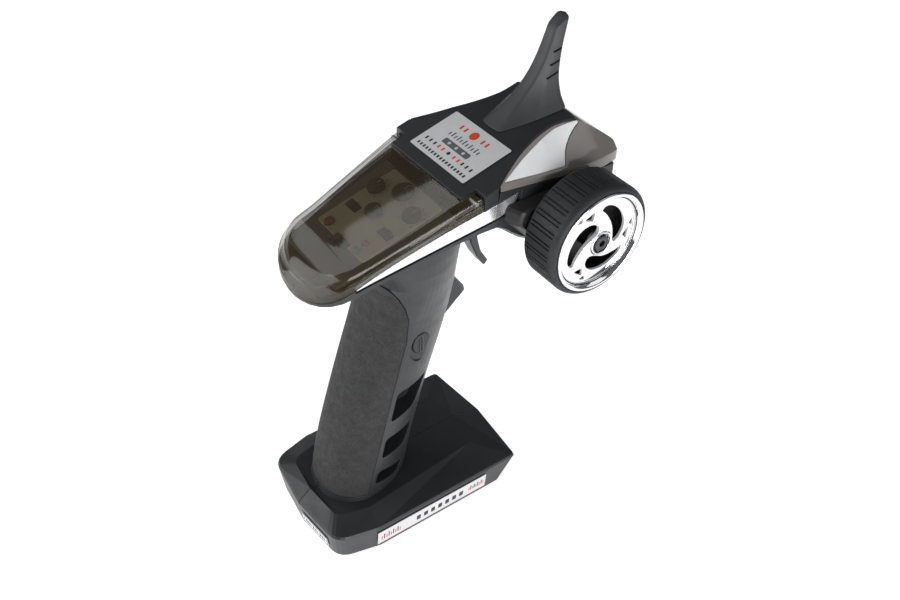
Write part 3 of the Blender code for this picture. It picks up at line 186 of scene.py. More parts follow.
def smoked_cover():
    """Clear smoked moulding: olive brown, glossy, denser where it is seen edge on."""
    g = Graph("smoked_cover", (0.05, 0.043, 0.026), 0.05)
    facing = g.node("ShaderNodeLayerWeight")
    facing.inputs["Blend"].default_value = 0.35
    g.feed("Alpha", g.ramp(facing.outputs["Facing"], (0.0, 0.3), (0.45, 0.46), (0.9, 0.97)))
    g.feed("Base Color", g.ramp(g.noise(14, 2), (0.3, (0.050, 0.037, 0.014)), (0.75, (0.072, 0.056, 0.026))))
    g.feed("Roughness", g.ramp(g.noise(60, 3), (0.35, 0.04), (0.8, 0.08)))
    g.set("IOR", 1.6)
    g.set("Coat Weight", 0.5)
    g.set("Coat IOR", 1.7)
    g.set("Coat Roughness", 0.03)
    g.bump(g.noise(35, 2), 0.0004, 0.03, g.rounding(0.0004))
    return g.material


def smoke_nose():
    g = Graph("smoke_nose", (0.16, 0.148, 0.14), 0.13)
    g.feed("Base Color", g.ramp(g.noise(22, 3), (0.3, (0.15, 0.138, 0.13)), (0.75, (0.225, 0.205, 0.195))))
    g.feed("Roughness", g.ramp(g.noise(80, 3), (0.3, 0.09), (0.8, 0.18)))
    g.set("Coat Weight", 0.5)
    g.set("Coat Roughness", 0.05)
    g.bump(g.noise(900, 2), 0.00003, 0.05, g.rounding(0.0004))
    return g.material


def silver_foil():
    """Vacuum-plated trim: bright, with faint brushed streaks along the part."""
    g = Graph("silver_foil", (0.86, 0.87, 0.88), 0.14, 0.85)
    streak = g.noise(260, 3, 0.6, (1.0, 0.06, 1.0))
    g.feed("Roughness", g.ramp(streak, (0.3, 0.1), (0.7, 0.2)))
    g.feed("Base Color", g.ramp(g.noise(40, 3), (0.3, (0.8, 0.81, 0.83)), (0.7, (0.93, 0.93, 0.94))))
    g.bump(streak, 0.00002, 0.1, g.rounding(0.0003))
    return g.material


def white_panel():
    g = Graph("white_panel", (0.93, 0.93, 0.93), 0.22)
    g.feed("Base Color", g.ramp(g.noise(28, 3), (0.3, (0.9, 0.9, 0.91)), (0.7, (0.96, 0.96, 0.96))))
    g.feed("Roughness", g.ramp(g.noise(180, 3), (0.3, 0.12), (0.7, 0.22)))
    g.bump(g.noise(1200, 2), 0.00002, 0.06, g.rounding(0.0003))
    return g.material


def chrome_plate():
    g = Graph("chrome_plate", (0.93, 0.93, 0.94), 0.05, 1.0)
    g.feed("Roughness", g.ramp(g.noise(120, 4), (0.35, 0.03), (0.75, 0.09)))
    g.feed("Base Color", g.ramp(g.noise(50, 2), (0.3, (0.9, 0.9, 0.91)), (0.7, (0.95, 0.95, 0.96))))
    g.bump(g.noise(55, 2), 0.0002, 0.04, g.rounding(0.0004))
    return g.material


def brushed_metal(name, colour, rough=0.32):
    g = Graph(name, colour, rough, 1.0)
    streak = g.noise(900, 3, 0.6, (1.0, 0.1, 0.1))
    g.feed("Roughness", g.ramp(streak, (0.3, rough - 0.08), (0.7, rough + 0.1)))
    g.feed("Base Color", g.ramp(g.noise(120, 3), (0.3, tuple(c * 0.85 for c in colour)), (0.7, colour)))
    g.bump(streak, 0.00003, 0.2)
    return g.material


def printed_film(name, colour, rough=0.42, metallic=0.0):
    g = Graph(name, colour, rough, metallic)
    g.feed("Base Color", g.ramp(g.noise(60, 3), (0.3, tuple(c * 0.94 for c in colour)), (0.7, colour)))
    g.feed("Roughness", g.ramp(g.noise(400, 3), (0.3, rough - 0.06), (0.7, rough + 0.08)))
    g.bump(g.noise(1500, 2), 0.00002, 0.12)
    return g.material


def clear_lens(name, colour):
    g = Graph(name, colour, 0.15)
    g.feed("Base Color", g.ramp(g.noise(300, 2), (0.3, tuple(c * 0.7 for c in colour)), (0.7, colour)))
    g.set("Coat Weight", 0.6)
    return g.material


def circuit_board():
    g = Graph("circuit_board", (0.02, 0.14, 0.05), 0.4)
    tracks = g.cells(600, stretch=(1.0, 0.3, 1.0))
    g.feed("Base Color", g.ramp(tracks, (0.2, (0.015, 0.10, 0.04)), (0.5, (0.03, 0.2, 0.08))))
    g.bump(tracks, 0.00005, 0.3)
    return g.material


CHARCOAL = satin_plastic()
FIN = satin_plastic("fin_moulding", (0.038, 0.039, 0.042), 0.5, 0.1)
BLACK = satin_plastic("black_moulding", (0.012, 0.012, 0.013), 0.45)
PAD = grip_rubber()
TYRE = tyre_rubber()
SMOKED = smoked_cover()
NOSE = smoke_nose()
SILVER = silver_foil()
PANEL = white_panel()
CHROME = chrome_plate()
STEEL = brushed_metal("brushed_steel", (0.55, 0.55, 0.56))
DARK_STEEL = brushed_metal("blackened_steel", (0.09, 0.09, 0.095), 0.38)
# Darker chrome for the walls of the rim's windows: painted shade for their dark reflections.
PAINTED_SHADE_CHROME = brushed_metal("painted_shade_chrome", (0.13, 0.125, 0.12), 0.22)
BRASS = brushed_metal("turned_brass", (0.72, 0.53, 0.25))
LABEL = printed_film("label_film", (0.78, 0.78, 0.8), 0.34, 0.1)
PLATE = printed_film("plate_paint", (0.52, 0.46, 0.26), 0.45)
PLATE_EDGE = printed_film("plate_edge_paint", (0.10, 0.095, 0.07), 0.5)
STICKER = printed_film("sticker_film", (0.66, 0.66, 0.665), 0.4)
INK = printed_film("black_ink", (0.012, 0.012, 0.013), 0.5)
RED_INK = printed_film("red_ink", (0.72, 0.07, 0.02), 0.5)
GREY_INK = printed_film("grey_ink", (0.12, 0.13, 0.16), 0.5)
LOOKS = {
    "shell": CHARCOAL, "pad": PAD, "smoked": SMOKED, "nose": NOSE, "silver": SILVER, "label": LABEL,
    "brass": BRASS,
    "plate": PLATE, "knob": BLACK, "button_red": clear_lens("red_button", (0.45, 0.03, 0.02)),
    "lamp_red": clear_lens("red_lens", (0.6, 0.05, 0.04)),
    "lamp_green": clear_lens("green_lens", (0.05, 0.5, 0.1)),
    "board": circuit_board(), "steel": STEEL, "tyre": TYRE, "chrome": CHROME,
    "cell": printed_film("cell_wrap", (0.05, 0.12, 0.4)), "screw": DARK_STEEL,
    "lead": printed_film("lead_insulation", (0.4, 0.03, 0.02), 0.5),
}
SPECIAL = {
    "side_label": STICKER, "white_panel_left": PANEL, "white_panel_right": PANEL, "wheel_nut": DARK_STEEL,
}


def dress(obj, made_of):
    obj.data.materials.clear()
    obj.data.materials.append(made_of)


def dress_nodes():
    for part in frame["record"]["subparts"]:
        name = part["node"]
        dress(NODES[name], SPECIAL.get(name, LOOKS[part["material_slot"]]))
        smooth(NODES[name])


def smooth(obj, angle=30.0):
    """Smooth shading between faces that meet at less than the angle."""
    obj.data.shade_smooth()
    obj.data.set_sharp_from_angle(angle=radians(angle))


dress_nodes()


# ---------------------------------------------------------------- shape tools

GAP = 0.3
HEAD_REAR, HEAD_HALF = -45.3, 33.0
HEAD_TAPER, TAPER_START, TAIL_START, TAIL_POWER = 0.115, 35.0, -25.0, 2.4
DECK_Z, DECK_SLOPE = 177.26, 0.2752
COVER_REAR, COVER_NOTCH, COVER_SHOULDER, COVER_FRONT = 21.4, 28.7, 35.2, 86.0
TONGUE_HALF = 25.9
STRIPE_REAR = -28.8
HINGE_Y, HINGE_Z, KNUCKLE_R = 25.6, 181.8, 2.7
WHEEL_Y, WHEEL_Z, WHEEL_IN, WHEEL_OUT = 69.2, 162.1, 41.4, 61.2
TYRE_R, RIM_R, SHAFT_R = 26.3, 23.5, 3.0
TYRE_BORE = 21.0
PLATE_DROP = 7.6
FOOT_REAR = -54.5
FOOT_HALF, FOOT_LEAN, LABEL_FROM, LABEL_TO = 36.3, 1.6, 1.4, 16.1
CUT_HALF, CUT_LOW, CUT_HIGH, CUT_AHEAD = 45.0, 130.0, 230.0, 60.0
SPINE_REACH = 16.0


def clamp(value, low=0.0, high=1.0):
    return max(low, min(high, value))


def power(value, exponent):
    return (1 if value >= 0 else -1) * abs(value) ** exponent


def steps(low, high, size):
    """Evenly spaced values from low to high, about this far apart."""
    count = max(1, round(abs(high - low) / size))
    return [low + (high - low) * i / count for i in range(count + 1)]


def blend_curve(points, at):
    """A smooth curve through (place, value) points."""
    if at <= points[0][0]:
        return points[0][1]
    for i, ((a, u), (b, v)) in enumerate(zip(points, points[1:])):
        if at <= b:
            left = points[i - 1] if i else (a, u)
            right = points[i + 2] if i + 2 < len(points) else (b, v)
            t, span = (at - a) / (b - a), b - a
            rise = (v - left[1]) / (b - left[0]) * span
            fall = (right[1] - u) / (right[0] - a) * span
            return (
                u * (2 * t**3 - 3 * t**2 + 1) + rise * (t**3 - 2 * t**2 + t)
                + v * (3 * t**2 - 2 * t**3) + fall * (t**3 - t**2)
            )
    return points[-1][1]


def loft(rings, closed=False):
    """One body through rings that hold the same number of points. Closed joins the last ring to the first."""
    bm = bmesh.new()
    made = [[bm.verts.new(p) for p in ring] for ring in rings]
    pairs = list(zip(made, made[1:]))
    if closed:
        pairs.append((made[-1], made[0]))
    for low, high in pairs:
        for i in range(len(low)):
            j = (i + 1) % len(low)
            bm.faces.new((low[i], low[j], high[j], high[i]))
    if not closed:
        bm.faces.new(made[0][::-1])
        bm.faces.new(made[-1])
    return bm


def prism(axis, outline, low, high):
    place = {
        "X": lambda a, b, t: Vector((t, a, b)),
        "Y": lambda a, b, t: Vector((a, t, b)),
        "Z": lambda a, b, t: Vector((a, b, t)),
    }[axis]
    return loft([[place(a, b, t) for a, b in outline] for t in (low, high)])


def rod(axis, centre, radius, low, high, count=24):
    turns = [2 * pi * i / count for i in range(count)]
    outline = [(centre[0] + radius * cos(turn), centre[1] + radius * sin(turn)) for turn in turns]
    return prism(axis, outline, low, high)


def box(low, high):
    outline = [(low[0], low[1]), (high[0], low[1]), (high[0], high[1]), (low[0], high[1])]
    return prism("Z", outline, low[2], high[2])


def turned(profile, centre, axis, count=48):
    """A closed profile of (along, radius), or one that starts and ends on the axis, turned about it."""
    along = Vector(axis).normalized()
    side = along.orthogonal().normalized()
    up = along.cross(side)
    profile = [(d, max(r, 0.02)) for d, r in profile]
    rings = []
    for i in range(count):
        angle = 2 * pi * i / count
        out = side * cos(angle) + up * sin(angle)
        rings.append([Vector(centre) + along * d + out * r for d, r in profile])
    return loft(rings, closed=True)


def rounded(corners, count=5):
    """A polygon of (a, b, radius) corners with each corner rounded to its radius."""
    outline = []
    for i, (a, b, radius) in enumerate(corners):
        here = Vector((a, b))
        before = (Vector(corners[i - 1][:2]) - here).normalized()
        after = (Vector(corners[(i + 1) % len(corners)][:2]) - here).normalized()
        if radius <= 0:
            outline.append((a, b))
            continue
        half = before.angle(after) / 2
        reach = radius / max(0.05, abs(sin(half) / cos(half)))
        start, end = here + before * reach, here + after * reach
        for k in range(count + 1):
            t = k / count
            p = start * (1 - t) ** 2 + here * 2 * t * (1 - t) + end * t * t
            outline.append((p.x, p.y))
    return outline


def mirrored(points):
    return [Vector(p) for p in points] + [Vector((-x, y, z)) for x, y, z in points[::-1]]


def solid(name, bm, made_of, angle=30.0):
    """Turns a mesh in millimetres into an object in metres."""
    bmesh.ops.recalc_face_normals(bm, faces=bm.faces)
    bmesh.ops.scale(bm, verts=bm.verts, vec=(MM, MM, MM))
    mesh = bpy.data.meshes.new(name)
    bm.to_mesh(mesh)
    bm.free()
    made = bpy.data.objects.new(name, mesh)
    bpy.context.scene.collection.objects.link(made)
    if made_of:
        mesh.materials.append(made_of)
        smooth(made, angle)
    return made


def carve(target, *steps_):
    """Applies (operation, mesh) Booleans in turn, and leaves no modifier or cutter behind."""
    for operation, bm in steps_:
        other = solid("carver", bm, None)
        step = target.modifiers.new("carve", "BOOLEAN")
        step.object, step.operation, step.solver = other, operation, "MANIFOLD"
        bpy.context.view_layer.update()
        graph = bpy.context.evaluated_depsgraph_get()
        made = bpy.data.meshes.new_from_object(target.evaluated_get(graph))
        target.modifiers.remove(step)
        old = target.data
        target.data = made
        bpy.data.meshes.remove(old)
        bpy.data.objects.remove(other, do_unlink=True)
    smooth(target, 30.0)
    return target


def stand_for(obj, body, *nodes):
    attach(obj, body)
    if nodes:
        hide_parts(*nodes)
    return obj


# ---------------------------------------------------------------- head surfaces


def head_half(y):
    side = HEAD_HALF - HEAD_TAPER * max(0.0, TAPER_START - max(y, TAIL_START))
    if y >= TAIL_START:
        return side
    reach = clamp((TAIL_START - y) / (TAIL_START - HEAD_REAR))
    return side * (1 - reach**TAIL_POWER) ** (1 / TAIL_POWER)


def deck_z(y):
    if y <= 50:
        return DECK_Z + DECK_SLOPE * y
    past = min(y, COVER_FRONT) - 50
    return DECK_Z + DECK_SLOPE * 50 + DECK_SLOPE * past - 0.002 * past * past


def deck_crown(x, y):
    return 2.2 * clamp((y - 53) / 33) * (x / 20) ** 2


def flap_z(y):
    return DECK_Z + DECK_SLOPE * y - 0.02 * max(0.0, -27 - y) ** 2


def lip_z(y):
    return 160.4 + 0.219 * y - 0.0045 * max(0.0, -20 - y) ** 2


def stripe_high(y):
    return 169.2 + 0.3307 * y - 0.00142 * y * y


def skirt_z(y):
    if y > STRIPE_REAR:
        return stripe_high(y) + GAP
    rise = clamp((y - HEAD_REAR) / (STRIPE_REAR - HEAD_REAR))
    return lip_z(y) + 2.0 + 2.85 * rise


def border_half(y):
    if y <= COVER_SHOULDER:
        return HEAD_HALF
    if y <= 75:
        return 17.7 + 15.3 * ((75 - y) / (75 - COVER_SHOULDER)) ** 1.6
    return 17.7 + 2.3 * ((y - 75) / 11) ** 1.5


def border_z(y):
    return deck_z(y) - deck_crown(border_half(y), y)


# ---------------------------------------------------------------- flip cover


def flap_edge(front):
    """The outline in plan as (place, outward direction), from the front right corner to the tail."""
    edge = []
    for y in steps(front, TAIL_START, 2.5)[:-1]:
        out = Vector((1, -HEAD_TAPER if y < front else 0.0)).normalized()
        edge.append((Vector((head_half(y), y)), out))
    for i in range(31):
        angle = pi / 2 * i / 30
        depth, half, lean = TAIL_START - HEAD_REAR, head_half(TAIL_START), 2 - 2 / TAIL_POWER
        across, back = power(cos(angle), 2 / TAIL_POWER), power(sin(angle), 2 / TAIL_POWER)
        place = Vector((half * across, TAIL_START - depth * back))
        out = Vector((power(cos(angle), lean) / half, -power(sin(angle), lean) / depth)).normalized()
        edge.append((place, out))
    return edge


def flap_crease(y):
    return 0.9 + 0.8 * clamp((25 - y) / 45) + 1.3 * clamp((TAIL_START - y) / 16)


def crease_z(y):
    """Height of the crease between the flap's skirt and its top."""
    return flap_z(y) - 1.2 - 3.4 * clamp((25 - y) / 45)


def flap_top(y, inset):
    """The top rises quickly next to the crease and then stays nearly flat."""
    return crease_z(y) + 0.9 * (1 - (1 - clamp(inset / 3.5)) ** 2) + 0.35 * (1 - (1 - clamp(inset / 26)) ** 2)


def flap_ring(front, inset, height, spine=0.0):
    right = []
    for place, out in flap_edge(front):
        p = place - out * inset(place.y)
        p = p.lerp(Vector((0, max(p.y, -24.0))), spine)
        right.append(Vector((max(0.0, p.x), p.y, height(p.y))))
    return right + [Vector((-p.x, p.y, p.z)) for p in right[-2::-1]]


def flap_body(front, thick=0.0):
    """Rings from the skirt's lower edge, over the line along the skirt and the crease, to the spine."""
    def line_z(y):
        return skirt_z(y) + 0.56 * (flap_top(y, 0.0) - skirt_z(y))

    def side(inset, drop):
        return flap_ring(front, lambda y: thick + inset, lambda y: line_z(y) + drop - thick)

    def top(inset, drop=0.0, spine=0.0):
        reach = max(0.0, inset) + SPINE_REACH * spine
        def height(y):
            return flap_top(y, reach) - drop - thick

        return flap_ring(front, lambda y: thick + flap_crease(y) + inset, height, spine)

    if thick:
        rings = [
            flap_ring(front, lambda y: thick + 3, lambda y: CUT_LOW - 1),
            flap_ring(front, lambda y: thick, lambda y: CUT_LOW), side(0.0, 0.0), side(0.45, 0.3),
        ]
    else:
        rings = [
            flap_ring(front, lambda y: 3.0, skirt_z), flap_ring(front, lambda y: 0.25, skirt_z),
            flap_ring(front, lambda y: 0.0, lambda y: skirt_z(y) + 0.3),
            side(0.0, -0.5), side(0.12, -0.12), side(0.5, 0.0), side(0.55, 0.3),
        ]
    rings += [top(-0.35, 1.1), top(-0.12, 0.4), top(0.05, 0.1)]
    rings += [top(inset) for inset in (0.3, 0.8, 1.4, 2.0, 2.8, 3.6, 5.0, 7.0, 9.0, 11.0)]
    rings += [top(11.0, spine=spine) for spine in (0.2, 0.4, 0.6, 0.8, 0.96)]
    return loft(rings)


def arm_end():
    """What is cut from the flap's arms so that they end round about the hinge."""
    reach = KNUCKLE_R + 0.1
    arc = [(HINGE_Y + reach * sin(a), HINGE_Z + reach * cos(a)) for a in steps(0.0, pi / 2, 0.16)]
    ahead, low, high = HINGE_Y + 20, HINGE_Z - 22, HINGE_Z + 23
    outline = arc + [(HINGE_Y + reach, low), (ahead, low), (ahead, high), (HINGE_Y, high)]
    return prism("X", outline, -CUT_HALF, CUT_HALF)


def flip_cover():
    flap = solid("flip_cover_shell", flap_body(29.2), SMOKED)
    opening = TONGUE_HALF + 2 * GAP
    carve(
        flap,
        ("DIFFERENCE", flap_body(33.0, 1.5)),
        ("DIFFERENCE", box((-opening, COVER_REAR - 0.5, CUT_LOW), (opening, CUT_AHEAD, CUT_HIGH))),
        ("DIFFERENCE", arm_end()),
    )
    stand_for(flap, "flip_cover", "flip_cover")


# ---------------------------------------------------------------- deck


def cover_section(y, thick=0.0):
    half = border_half(y) - thick - (GAP / 2 if y > COVER_SHOULDER else 0)
    low = stripe_high(y) + GAP if y <= COVER_SHOULDER else border_z(y) - 2.5 - 2.5 * clamp((y - 43) / 3)
    if thick:
        low = 150.0
    level = [(half, y, low), (half, y, deck_z(y) - deck_crown(half, y) - thick - 0.35)]
    for part in (1.0, 0.88, 0.74, 0.6, 0.46, 0.32, 0.16):
        x = half * part - (0.35 if part == 1.0 else 0.0)
        level.append((x, y, deck_z(y) - deck_crown(x, y) - thick))
    return mirrored(level)


def top_cover():
    stations = [COVER_REAR, COVER_NOTCH, 32.0, COVER_SHOULDER] + steps(COVER_SHOULDER + 0.4, COVER_FRONT, 1.6)
    hollow = [cover_section(y, 2.0) for y in [COVER_REAR - 4] + stations[1:-1] + [COVER_FRONT - 2.0]]
    cuts = [("DIFFERENCE", loft(hollow))]
    for side in (1, -1):
        low, high = sorted((side * TONGUE_HALF, side * (HEAD_HALF + 5)))
        cuts.append(("DIFFERENCE", box((low, COVER_REAR - 5, 150), (high, COVER_NOTCH, 200))))
        low, high = sorted((side * (TONGUE_HALF - 3.4), side * (TONGUE_HALF - 0.2)))
        cuts.append(("UNION", box((low, HINGE_Y - 3.0, HINGE_Z - 3.2), (high, HINGE_Y + 3.6, HINGE_Z + 1.0))))
    cover = solid("deck_cover", loft([cover_section(y) for y in stations]), CHARCOAL)
    stand_for(carve(cover, *cuts), "chassis", "top_cover")


# ---------------------------------------------------------------- nose cap and white panels

HEAD_FRONT = 103.5


def facet_low(y):
    return 186.7 - 0.125 * (min(y, 80.0) - COVER_SHOULDER)


def nose_low(y):
    return facet_low(y) - 2.0 - 2.6 * clamp((y - 78) / 14)


def nose_section(y, inset=0.0, low=None):
    """The wing's facet and the nose ahead of it, which rounds over to the front."""
    ahead = clamp((y - COVER_FRONT) / (HEAD_FRONT - COVER_FRONT))
    side = HEAD_HALF - 2.2 * clamp((y - 90) / 13.5) ** 2
    half = border_half(min(y, COVER_FRONT)) + 8.3 * ahead**1.15
    corner = border_z(min(y, COVER_FRONT)) - 12.6 * ahead**1.2
    top = corner + 1.9 * (1 - ahead) if y > COVER_FRONT else deck_z(y)
    half = min(half, side - 0.6)
    edge = max(facet_low(y), nose_low(y) + 1.0)
    bottom = nose_low(y) if low is None else low
    level = [(side - inset, y, bottom), (side - inset, y, edge - inset - 0.5)]
    for part, bow in ((0.03, 0.1), (0.3, 0.12), (0.6, 0.12), (0.97, 0.05)):
        across = side + (half - side) * part
        height = edge + (corner - edge) * part
        level.append((across + bow - inset * (1 - 0.6 * part), y, height + bow - inset))
    for part in (0.9, 0.75, 0.5, 0.25):
        rise = (top - corner) * (1 - part) ** 0.8 if y > COVER_FRONT else 0.0
        level.append((half * part - 0.4 * inset * part, y, corner + rise - inset))
    return mirrored(level)


def nose_cap():
    stations = [36.4] + steps(38.0, COVER_FRONT, 1.6) + steps(87.0, HEAD_FRONT - 2.4, 1.2)
    rings = [nose_section(y) for y in stations]
    round_over = ((1.5, 0.16), (0.8, 0.5), (0.3, 1.0), (0.05, 1.6))
    rings += [nose_section(HEAD_FRONT - back, inset) for back, inset in round_over]
    cap = solid("nose_cap_shell", loft(rings), NOSE)
    hollow = [nose_section(y, 1.8, 140.0) for y in [33.0] + steps(38.0, HEAD_FRONT - 2.4, 2.4)]
    space = [(border_half(y) + GAP / 2, y) for y in [26.0] + steps(COVER_SHOULDER + 0.4, COVER_FRONT, 1.6)]
    space.append((border_half(COVER_FRONT) + GAP / 2, COVER_FRONT + GAP))
    space += [(-x, y) for x, y in space[::-1]]
    cuts = [loft(hollow), prism("Z", space, 130, 230), panel_body(1, GAP), panel_body(-1, GAP)]
    stand_for(carve(cap, *[("DIFFERENCE", cut) for cut in cuts]), "chassis", "nose_cap")


PANEL_TOP = ((39.6, 0.27), (46, 0.22), (52, 0.19), (66.5, 0.12), (78, 0.07), (87, 0.03))
PANEL_FOOT = ((39.6, 0.42), (42, 0.6), (46, 0.74), (51, 0.82), (58, 0.87), (72, 0.9), (90, 0.92))
PANEL_ARC = ((70, 1.0), (71.8, 0.88), (75, 0.6), (78.5, 0.4), (83.5, 0.18), (87, 0.06))


def panel_body(side, grow=0.0):
    """A blade on the wing's facet that ends ahead in a hollow arc."""
    normal = Vector((0.83, 0.1, 0.55)).normalized()
    rings = []
    for y in steps(39.6 - grow, 86.0 + grow, 0.7):
        at = y - grow if y > 60 else y + grow
        top = blend_curve(PANEL_TOP, at) - 0.02 * grow
        foot = min(blend_curve(PANEL_FOOT, at), blend_curve(PANEL_ARC, at) if at > 70 else 2.0) + 0.03 * grow
        ring = []
        for part, lift in ((top, -0.8), (top, 0.05), (top, 0.2), (foot, 0.2), (foot, 0.05), (foot, -0.8)):
            inward = (0.012 if part == top else -0.012) * (1 if lift == 0.2 else 0)
            high = Vector((border_half(y), y, border_z(y)))
            place = high.lerp(Vector((HEAD_HALF, y, facet_low(y))), part + inward)
            lift = lift + (3 * grow if lift > 0 else -0.6 * grow)
            place += normal * lift
            ring.append(Vector((side * place.x, place.y, place.z)))
        rings.append(ring)
    return loft(rings)


def white_panels():
    for side, tag in ((1, "right"), (-1, "left")):
        stand_for(solid(f"panel_{tag}_skin", panel_body(side), PANEL), "chassis", "white_panel_" + tag)


# ---------------------------------------------------------------- aerial fin

FIN_TIP_Z, FIN_TIP_RISE = 231.7, 0.62
FIN_REAR = ((0, 54.8), (0.12, 60.5), (0.28, 67.8), (0.45, 74.2), (0.62, 78.6), (0.8, 81.8), (1, 84.6))
FIN_FRONT = ((0, 91.0), (0.15, 89.6), (0.4, 88.8), (0.7, 89.8), (1, 92.8))
FIN_TAIL = ((0, 6.4), (0.12, 4.4), (0.35, 3.3), (1, 3.0))
FIN_HALF = ((0, 12.8), (0.12, 9.8), (0.35, 6.8), (0.7, 5.2), (1, 4.0))
GILLS = ((80.6, 209.8), (82.6, 215.2), (84.4, 220.6))


def fin_outline(level, scale=1.0):
    curves = (FIN_REAR, FIN_FRONT, FIN_TAIL, FIN_HALF)
    rear, front, tail, half = (blend_curve(points, level) for points in curves)
    ahead = front - 0.12 * (front - rear)
    corners = [
        (0.0, rear, 0.0), (tail, rear + 0.6, 1.6 + tail * 0.2),
        (half * 0.9, rear + 0.55 * (ahead - rear), 8.0), (half, ahead, 1.2 + half * 0.15), (0.0, front, 0.0),
    ]
    corners += [(-x, y, r) for x, y, r in corners[3:0:-1]]
    middle = (rear + front) / 2
    return [(x * scale, middle + (y - middle) * scale) for x, y in rounded(corners, 8)]


def fin_ring(level, scale=1.0):
    ring = []
    for x, y in fin_outline(level, scale):
        base = deck_z(y) - deck_crown(x, y) + GAP
        tip = FIN_TIP_Z + FIN_TIP_RISE * (y - 88.0)
        ring.append(Vector((x, y, base + (tip - base) * level)))
    return ring


def fin_cap(shrink, rise):
    ring = fin_ring(1.0)
    centre = sum(ring, Vector()) / len(ring)
    return [centre + (p - centre) * shrink + Vector((0, 0.2 * rise, rise)) for p in ring]


def aerial_fin():
    levels = [0, 0.012, 0.03] + steps(0.06, 0.99, 0.035)
    cap = ((0.985, 0.2), (0.93, 0.7), (0.84, 1.1), (0.62, 1.5), (0.3, 1.7))
    rings = [fin_ring(level) for level in levels] + [fin_cap(shrink, rise) for shrink, rise in cap]
    fin = solid("aerial_fin_shell", loft(rings), FIN)
    cuts = []
    for low_y, low_z in GILLS:
        start = Vector((low_y, low_z))
        rise, thick = Vector((0.93, 0.36)) * 14.0, Vector((-0.36, 0.93)) * 0.75
        outline = [tuple(p) for p in (start, start + rise, start + rise + thick, start + thick)]
        for side in (1, -1):
            low, high = sorted((side * 3.6, side * 12.0))
            cuts.append(("DIFFERENCE", prism("X", outline, low, high)))
    stand_for(carve(fin, *cuts), "chassis", "aerial_fin")


# ---------------------------------------------------------------- steering wheel


def tyre_radius(angle, along):
    """Radius of the tread: pairs of grooves across it, which end before the smooth shoulder."""
    pairs, groove, spread = 30, 0.0125, 0.034
    pitch = 2 * pi / pairs
    off = (angle + pitch / 2) % pitch - pitch / 2
    near = min(abs(off - spread), abs(off + spread))
    depth = 0.8 * clamp((groove - near) / 0.005)
    return TYRE_R - depth * clamp((along - WHEEL_IN - 0.9) / 0.3) * clamp((WHEEL_OUT - 4.4 - along) / 0.3)


def wheel_tyre():
    tread = [WHEEL_IN + 1.0, WHEEL_IN + 1.4, WHEEL_OUT - 4.9, WHEEL_OUT - 4.3]
    shoulder = [
        (WHEEL_OUT - 3.6, TYRE_R), (WHEEL_OUT - 2.6, TYRE_R - 0.2), (WHEEL_OUT - 1.8, TYRE_R - 0.62),
        (WHEEL_OUT - 1.15, TYRE_R - 1.2), (WHEEL_OUT - 0.8, TYRE_R - 1.8), (WHEEL_OUT - 0.7, RIM_R + 0.7),
        (WHEEL_OUT - 1.0, RIM_R + 0.2), (WHEEL_OUT - 2.4, RIM_R + 0.2), (WHEEL_OUT - 2.4, TYRE_BORE),
        (WHEEL_IN, TYRE_BORE),
        (WHEEL_IN, TYRE_R - 1.2), (WHEEL_IN + 0.3, TYRE_R - 0.4),
    ]
    rings = []
    count = 30 * 40
    for i in range(count):
        angle = 2 * pi * i / count
        out = Vector((0, cos(angle), sin(angle)))
        profile = [(along, tyre_radius(angle, along)) for along in tread] + shoulder
        rings.append([Vector((along, WHEEL_Y, WHEEL_Z)) + out * radius for along, radius in profile])
    stand_for(solid("tyre_tread", loft(rings, closed=True), TYRE), "wheel", "wheel_tyre")


def rim_point(radius, angle):
    return WHEEL_Y + radius * cos(angle), WHEEL_Z + radius * sin(angle)


WINDOW_OUTER = (
    (0, 15.9), (0.03, 16.8), (0.11, 17.2), (0.25, 16.5), (0.49, 15.1), (0.67, 14.1), (0.84, 12.3),
    (0.94, 10.5), (1, 8.8),
)
WINDOW_INNER = (
    (0, 15.3), (0.05, 14.1), (0.2, 10.9), (0.39, 8.3), (0.6, 6.6), (0.8, 6.1), (0.94, 6.6), (1, 7.7),
)
WINDOW_SWEEP = radians(108)


def rim_window(i):
    """A comma-shaped window: broad at its head, curling in towards the hub."""
    start = pi / 2 - 2 * pi * i / 3
    outer, inner = [], []
    for part in steps(0.0, 1.0, 1 / 32):
        outer.append(rim_point(blend_curve(WINDOW_OUTER, part), start - WINDOW_SWEEP * part))
        inner.append(rim_point(blend_curve(WINDOW_INNER, part), start - WINDOW_SWEEP * part))
    return prism("X", outer + inner[::-1], WHEEL_OUT - 9, WHEEL_OUT + 2)


def rim_notch(i, corners):
    """A small window with rounded corners of (radius, degrees past the start)."""
    start = pi / 2 - 2 * pi * i / 3
    outline = [(*rim_point(radius, start + radians(turn)), 0.7) for radius, turn in corners]
    return prism("X", rounded(outline, 4), WHEEL_OUT - 9, WHEEL_OUT + 2)


NOTCHES = (((13.4, 22), (17.0, 35), (17.0, 12)), ((16.9, 38), (19.2, 46), (19.2, 32)))


